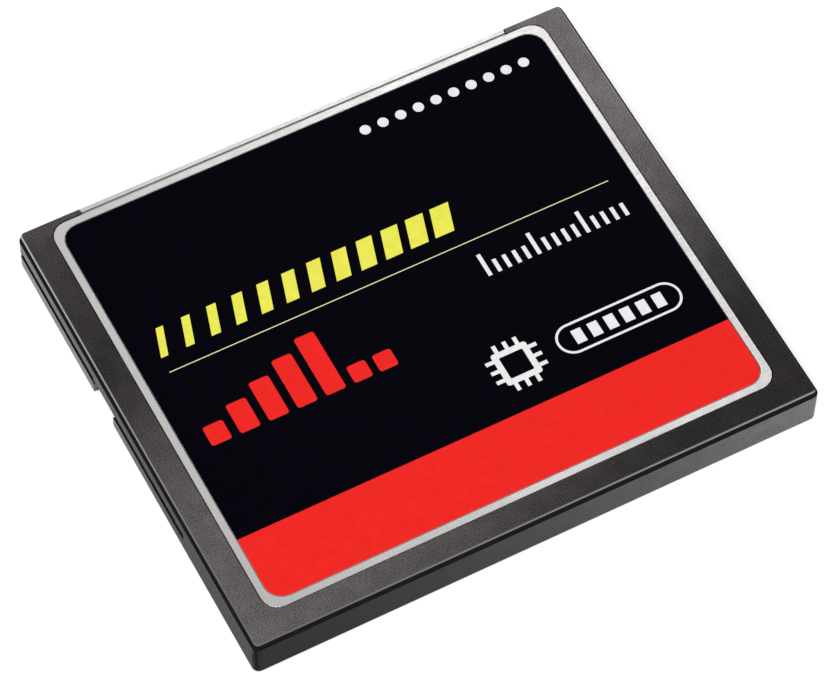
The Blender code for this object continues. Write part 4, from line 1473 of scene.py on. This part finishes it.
    def build(self) -> None:
        """Dress the film and print each ink on it."""
        film, face = self.film()
        dress(self.nodes["front_label"], BLACK_FILM.make("label_black"))
        layers = {ink: InkLayer(face, face + self.ink_thickness) for ink in Ink}
        layers[Ink.RED].fill(self.band(film))
        for bar in self.gauge(film):
            layers[Ink.RED].fill(bar.points())
        for dash in self.dashes(film):
            layers[Ink.YELLOW].fill(dash)
        rule = film.far - self.rule_from_far
        layers[Ink.PALE].fill(Patch(film.left + self.margin, film.right - self.margin, rule,
                                    rule + self.rule_thickness).points())
        badge = self.badge(film)
        layers[Ink.WHITE].line(badge.points(), badge.grown(-self.badge_line).points())
        for shape in (*self.ticks(film), *self.badge_marks(badge)):
            layers[Ink.WHITE].fill(shape.points())
        for dot in self.dots(film):
            layers[Ink.WHITE].fill(dot)
        self.draw_glyph(layers[Ink.WHITE], badge)
        for ink, layer in layers.items():
            layer.piece(f"print_{ink.value}", INK_FINISHES[ink].make(f"ink_{ink.value}"), self.slot)


@dataclass
class Works:
    """What lies between the covers: the socket, the board and its chips.

    Attributes:
        nodes: The CAD nodes by name.
        card_height: The card's thickness.
        socket_end: The Y of the socket end.
        housing_length: How far the socket's plastic reaches from it.
        tip_setback: How far inside it the contact springs end.
        packages: The number of memory packages.
        capacitors: The number of capacitors.
        arrays: The number of resistor arrays.
        epoxy: The colour of the packages and of their flecks.
        ceramic: The same for the capacitors.
        glaze: The same for the resistor arrays.
        glaze_roughness: The roughness of their glaze.
        lid: The lightest and darkest colour of the crystal's lid.
        controller_leads: The share of the controller's box that is leads, at each end of both axes.
        regulator_leads: The same for the regulator, across.
        capacitor_caps: The share of a capacitor's box that is metal, at each end.
        array_caps: The same for a resistor array.
    """

    nodes: dict[str, bpy.types.Object]
    card_height: float = 3.3 * MM
    socket_end: float = 18.2 * MM
    housing_length: float = 5.0 * MM
    tip_setback: float = 0.7 * MM
    packages: int = 3
    capacitors: int = 10
    arrays: int = 8
    epoxy: tuple[Colour, Colour] = ((0.014, 0.014, 0.016), (0.035, 0.035, 0.038))
    ceramic: tuple[Colour, Colour] = ((0.36, 0.25, 0.16), (0.48, 0.35, 0.24))
    glaze: tuple[Colour, Colour] = ((0.03, 0.03, 0.034), (0.055, 0.055, 0.06))
    glaze_roughness: float = 0.35
    lid: tuple[Colour, Colour] = ((0.72, 0.7, 0.64), (0.6, 0.58, 0.53))
    controller_leads: float = 0.076
    regulator_leads: float = 0.26
    capacitor_caps: float = 0.21
    array_caps: float = 0.17

    def build_packages(self) -> None:
        """Dress the memory packages, the controller, the regulator and the crystal."""
        plain = TippedChip((0.0, 0.0), *self.epoxy).make("package_epoxy")
        for index in range(self.packages):
            dress(self.nodes[f"flash_package_{index + 1}"], plain)
        leaded = TippedChip((self.controller_leads, self.controller_leads), *self.epoxy)
        dress(self.nodes["controller"], leaded.make("leaded_epoxy"))
        small = TippedChip((self.regulator_leads, 0.0), *self.epoxy)
        dress(self.nodes["regulator"], small.make("small_leaded_epoxy"))
        dress(self.nodes["crystal"], SatinSteel(*self.lid).make("crystal_lid"))

    def build_small(self) -> None:
        """Dress the capacitors and the resistor arrays."""
        finishes = {Axis.ACROSS: TippedChip((self.capacitor_caps, 0.0), *self.ceramic).make("ceramic_across"),
                    Axis.ALONG: TippedChip((0.0, self.capacitor_caps), *self.ceramic).make("ceramic_along")}
        for index in range(self.capacitors):
            name = f"capacitor_{index + 1}"
            low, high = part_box(name)
            long = Axis.ACROSS if high.x - low.x > high.y - low.y else Axis.ALONG
            dress(self.nodes[name], finishes[long])
        glazed = TippedChip((0.0, self.array_caps), *self.glaze, roughness=self.glaze_roughness)
        finish = glazed.make("resistor_glaze")
        for index in range(self.arrays):
            dress(self.nodes[f"resistor_array_{index + 1}"], finish)

    def build(self) -> None:
        """Dress the socket, the board and every chip."""
        housing = ContactHousing(self.card_height / 2, self.socket_end - self.housing_length,
                                 self.socket_end - self.tip_setback)
        dress(self.nodes["connector_housing"], housing.make("socket_plastic"))
        dress(self.nodes["circuit_board"], MaskedLaminate().make("solder_mask"))
        self.build_packages()
        self.build_small()


@dataclass
class Softbox:
    """A rectangular lamp that faces the card.

    Attributes:
        name: The lamp's name.
        place: Where it hangs.
        width: Its width.
        length: Its length.
        power: Its power in watts.
        turn: How far it is turned about its own axis, in degrees.
        aim: What it points at.
    """

    name: str
    place: Place
    width: float
    length: float
    power: float
    turn: float = 0.0
    aim: Place = (0.0, 0.0, 0.0)

    def build(self) -> None:
        """Make the lamp."""
        lamp = bpy.data.lights.new(self.name, "AREA")
        lamp.shape = "RECTANGLE"
        lamp.size = self.width
        lamp.size_y = self.length
        lamp.energy = self.power
        item = bpy.data.objects.new(self.name, lamp)
        looking = Vector(self.aim) - Vector(self.place)
        facing = looking.to_track_quat("-Z", "Y").to_matrix()
        turned = facing @ Matrix.Rotation(math.radians(self.turn), 3, "Z")
        item.matrix_world = Matrix.Translation(self.place) @ turned.to_4x4()
        bpy.context.scene.collection.objects.link(item)
        LOG.info("%s: lamp at %s", self.name, self.place)


@dataclass
class Studio:
    """The camera at the photograph's viewing angle, a pale floor and soft light.

    Attributes:
        camera_place: Where the camera stands.
        camera_aim: What it points at.
        camera_roll: How far it is turned about its own axis, in degrees.
        focal_pixels: Its focal length in the photograph's pixels.
        image_width: The photograph's width in pixels.
        sensor: The width of the sensor in millimetres.
        clip: The nearest and furthest distance that it sees.
        floor_side: The length of the floor's sides.
        floor_gap: How far the floor lies below the card, so that no faces coincide.
        world_level: The strength of the white surround.
        lamps: The soft lamps.
    """

    camera_place: Place = (-78.8 * MM, -142.59 * MM, 262.06 * MM)
    camera_aim: Place = (-0.12 * MM, 0.03 * MM, 0.0)
    camera_roll: float = 1.276
    focal_pixels: float = 4486.2
    image_width: float = 825.0
    sensor: float = 36.0
    clip: Span = (0.01, 20.0)
    floor_side: float = 6.0
    floor_gap: float = 0.01 * MM
    world_level: float = 0.62
    lamps: tuple[Softbox, ...] = (
        Softbox("left_box", place=(-0.302, -0.3, 0.52), width=0.45, length=0.45, power=2.55),
        Softbox("steel_box", place=(0.08, 0.127, 0.2), width=0.05, length=0.095, power=0.026, turn=56.0),
    )

    def build_camera(self) -> None:
        """Make the camera."""
        data = bpy.data.cameras.new("camera")
        data.sensor_width = self.sensor
        data.lens = self.focal_pixels * self.sensor / self.image_width
        data.clip_start, data.clip_end = self.clip
        item = bpy.data.objects.new("camera", data)
        place = Vector(self.camera_place)
        facing = (Vector(self.camera_aim) - place).to_track_quat("-Z", "Y").to_matrix()
        turned = facing @ Matrix.Rotation(math.radians(self.camera_roll), 3, "Z")
        item.matrix_world = Matrix.Translation(place) @ turned.to_4x4()
        bpy.context.scene.collection.objects.link(item)
        bpy.context.scene.camera = item

    def build_floor(self) -> None:
        """Make the floor."""
        half = self.floor_side / 2
        mesh = bpy.data.meshes.new("floor")
        corners = [(-half, -half, 0.0), (half, -half, 0.0), (half, half, 0.0), (-half, half, 0.0)]
        mesh.from_pydata(corners, [], [(0, 1, 2, 3)])
        mesh.materials.append(PaleFloor(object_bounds()).make("pale_floor"))
        item = bpy.data.objects.new("floor", mesh)
        item.location.z = -self.floor_gap
        bpy.context.scene.collection.objects.link(item)
        item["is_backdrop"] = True

    def build_world(self) -> None:
        """Make a plain surround that is seen white and lights the card evenly."""
        world = bpy.data.worlds.new("surround")
        bpy.context.scene.world = world
        world.use_nodes = True
        tree = world.node_tree
        back = tree.nodes["Background"]
        back.inputs["Color"].default_value = (1.0, 1.0, 1.0, 1.0)
        light = tree.nodes.new("ShaderNodeLightPath")
        seen = tree.nodes.new("ShaderNodeMath")
        seen.operation = "MAXIMUM"
        tree.links.new(light.outputs["Is Camera Ray"], seen.inputs[0])
        tree.links.new(light.outputs["Is Transmission Ray"], seen.inputs[1])
        level = tree.nodes.new("ShaderNodeMapRange")
        tree.links.new(seen.outputs[0], level.inputs["Value"])
        level.inputs["To Min"].default_value = self.world_level
        level.inputs["To Max"].default_value = 1.0
        tree.links.new(level.outputs[0], back.inputs["Strength"])

    def build(self) -> None:
        """Make the whole studio."""
        bpy.context.scene.view_settings.view_transform = "Standard"
        self.build_camera()
        self.build_floor()
        self.build_world()
        for lamp in self.lamps:
            lamp.build()


def main() -> None:
    """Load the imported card, dress it and set it in the studio."""
    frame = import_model()
    nodes = frame["nodes"]
    for assembly in (Shell(nodes), Label(nodes), Works(nodes), Studio()):
        assembly.build()
        LOG.info("%s built", type(assembly).__name__)


if __name__ == "__main__":
    logging.basicConfig(level=logging.INFO, format="%(message)s")
    main()
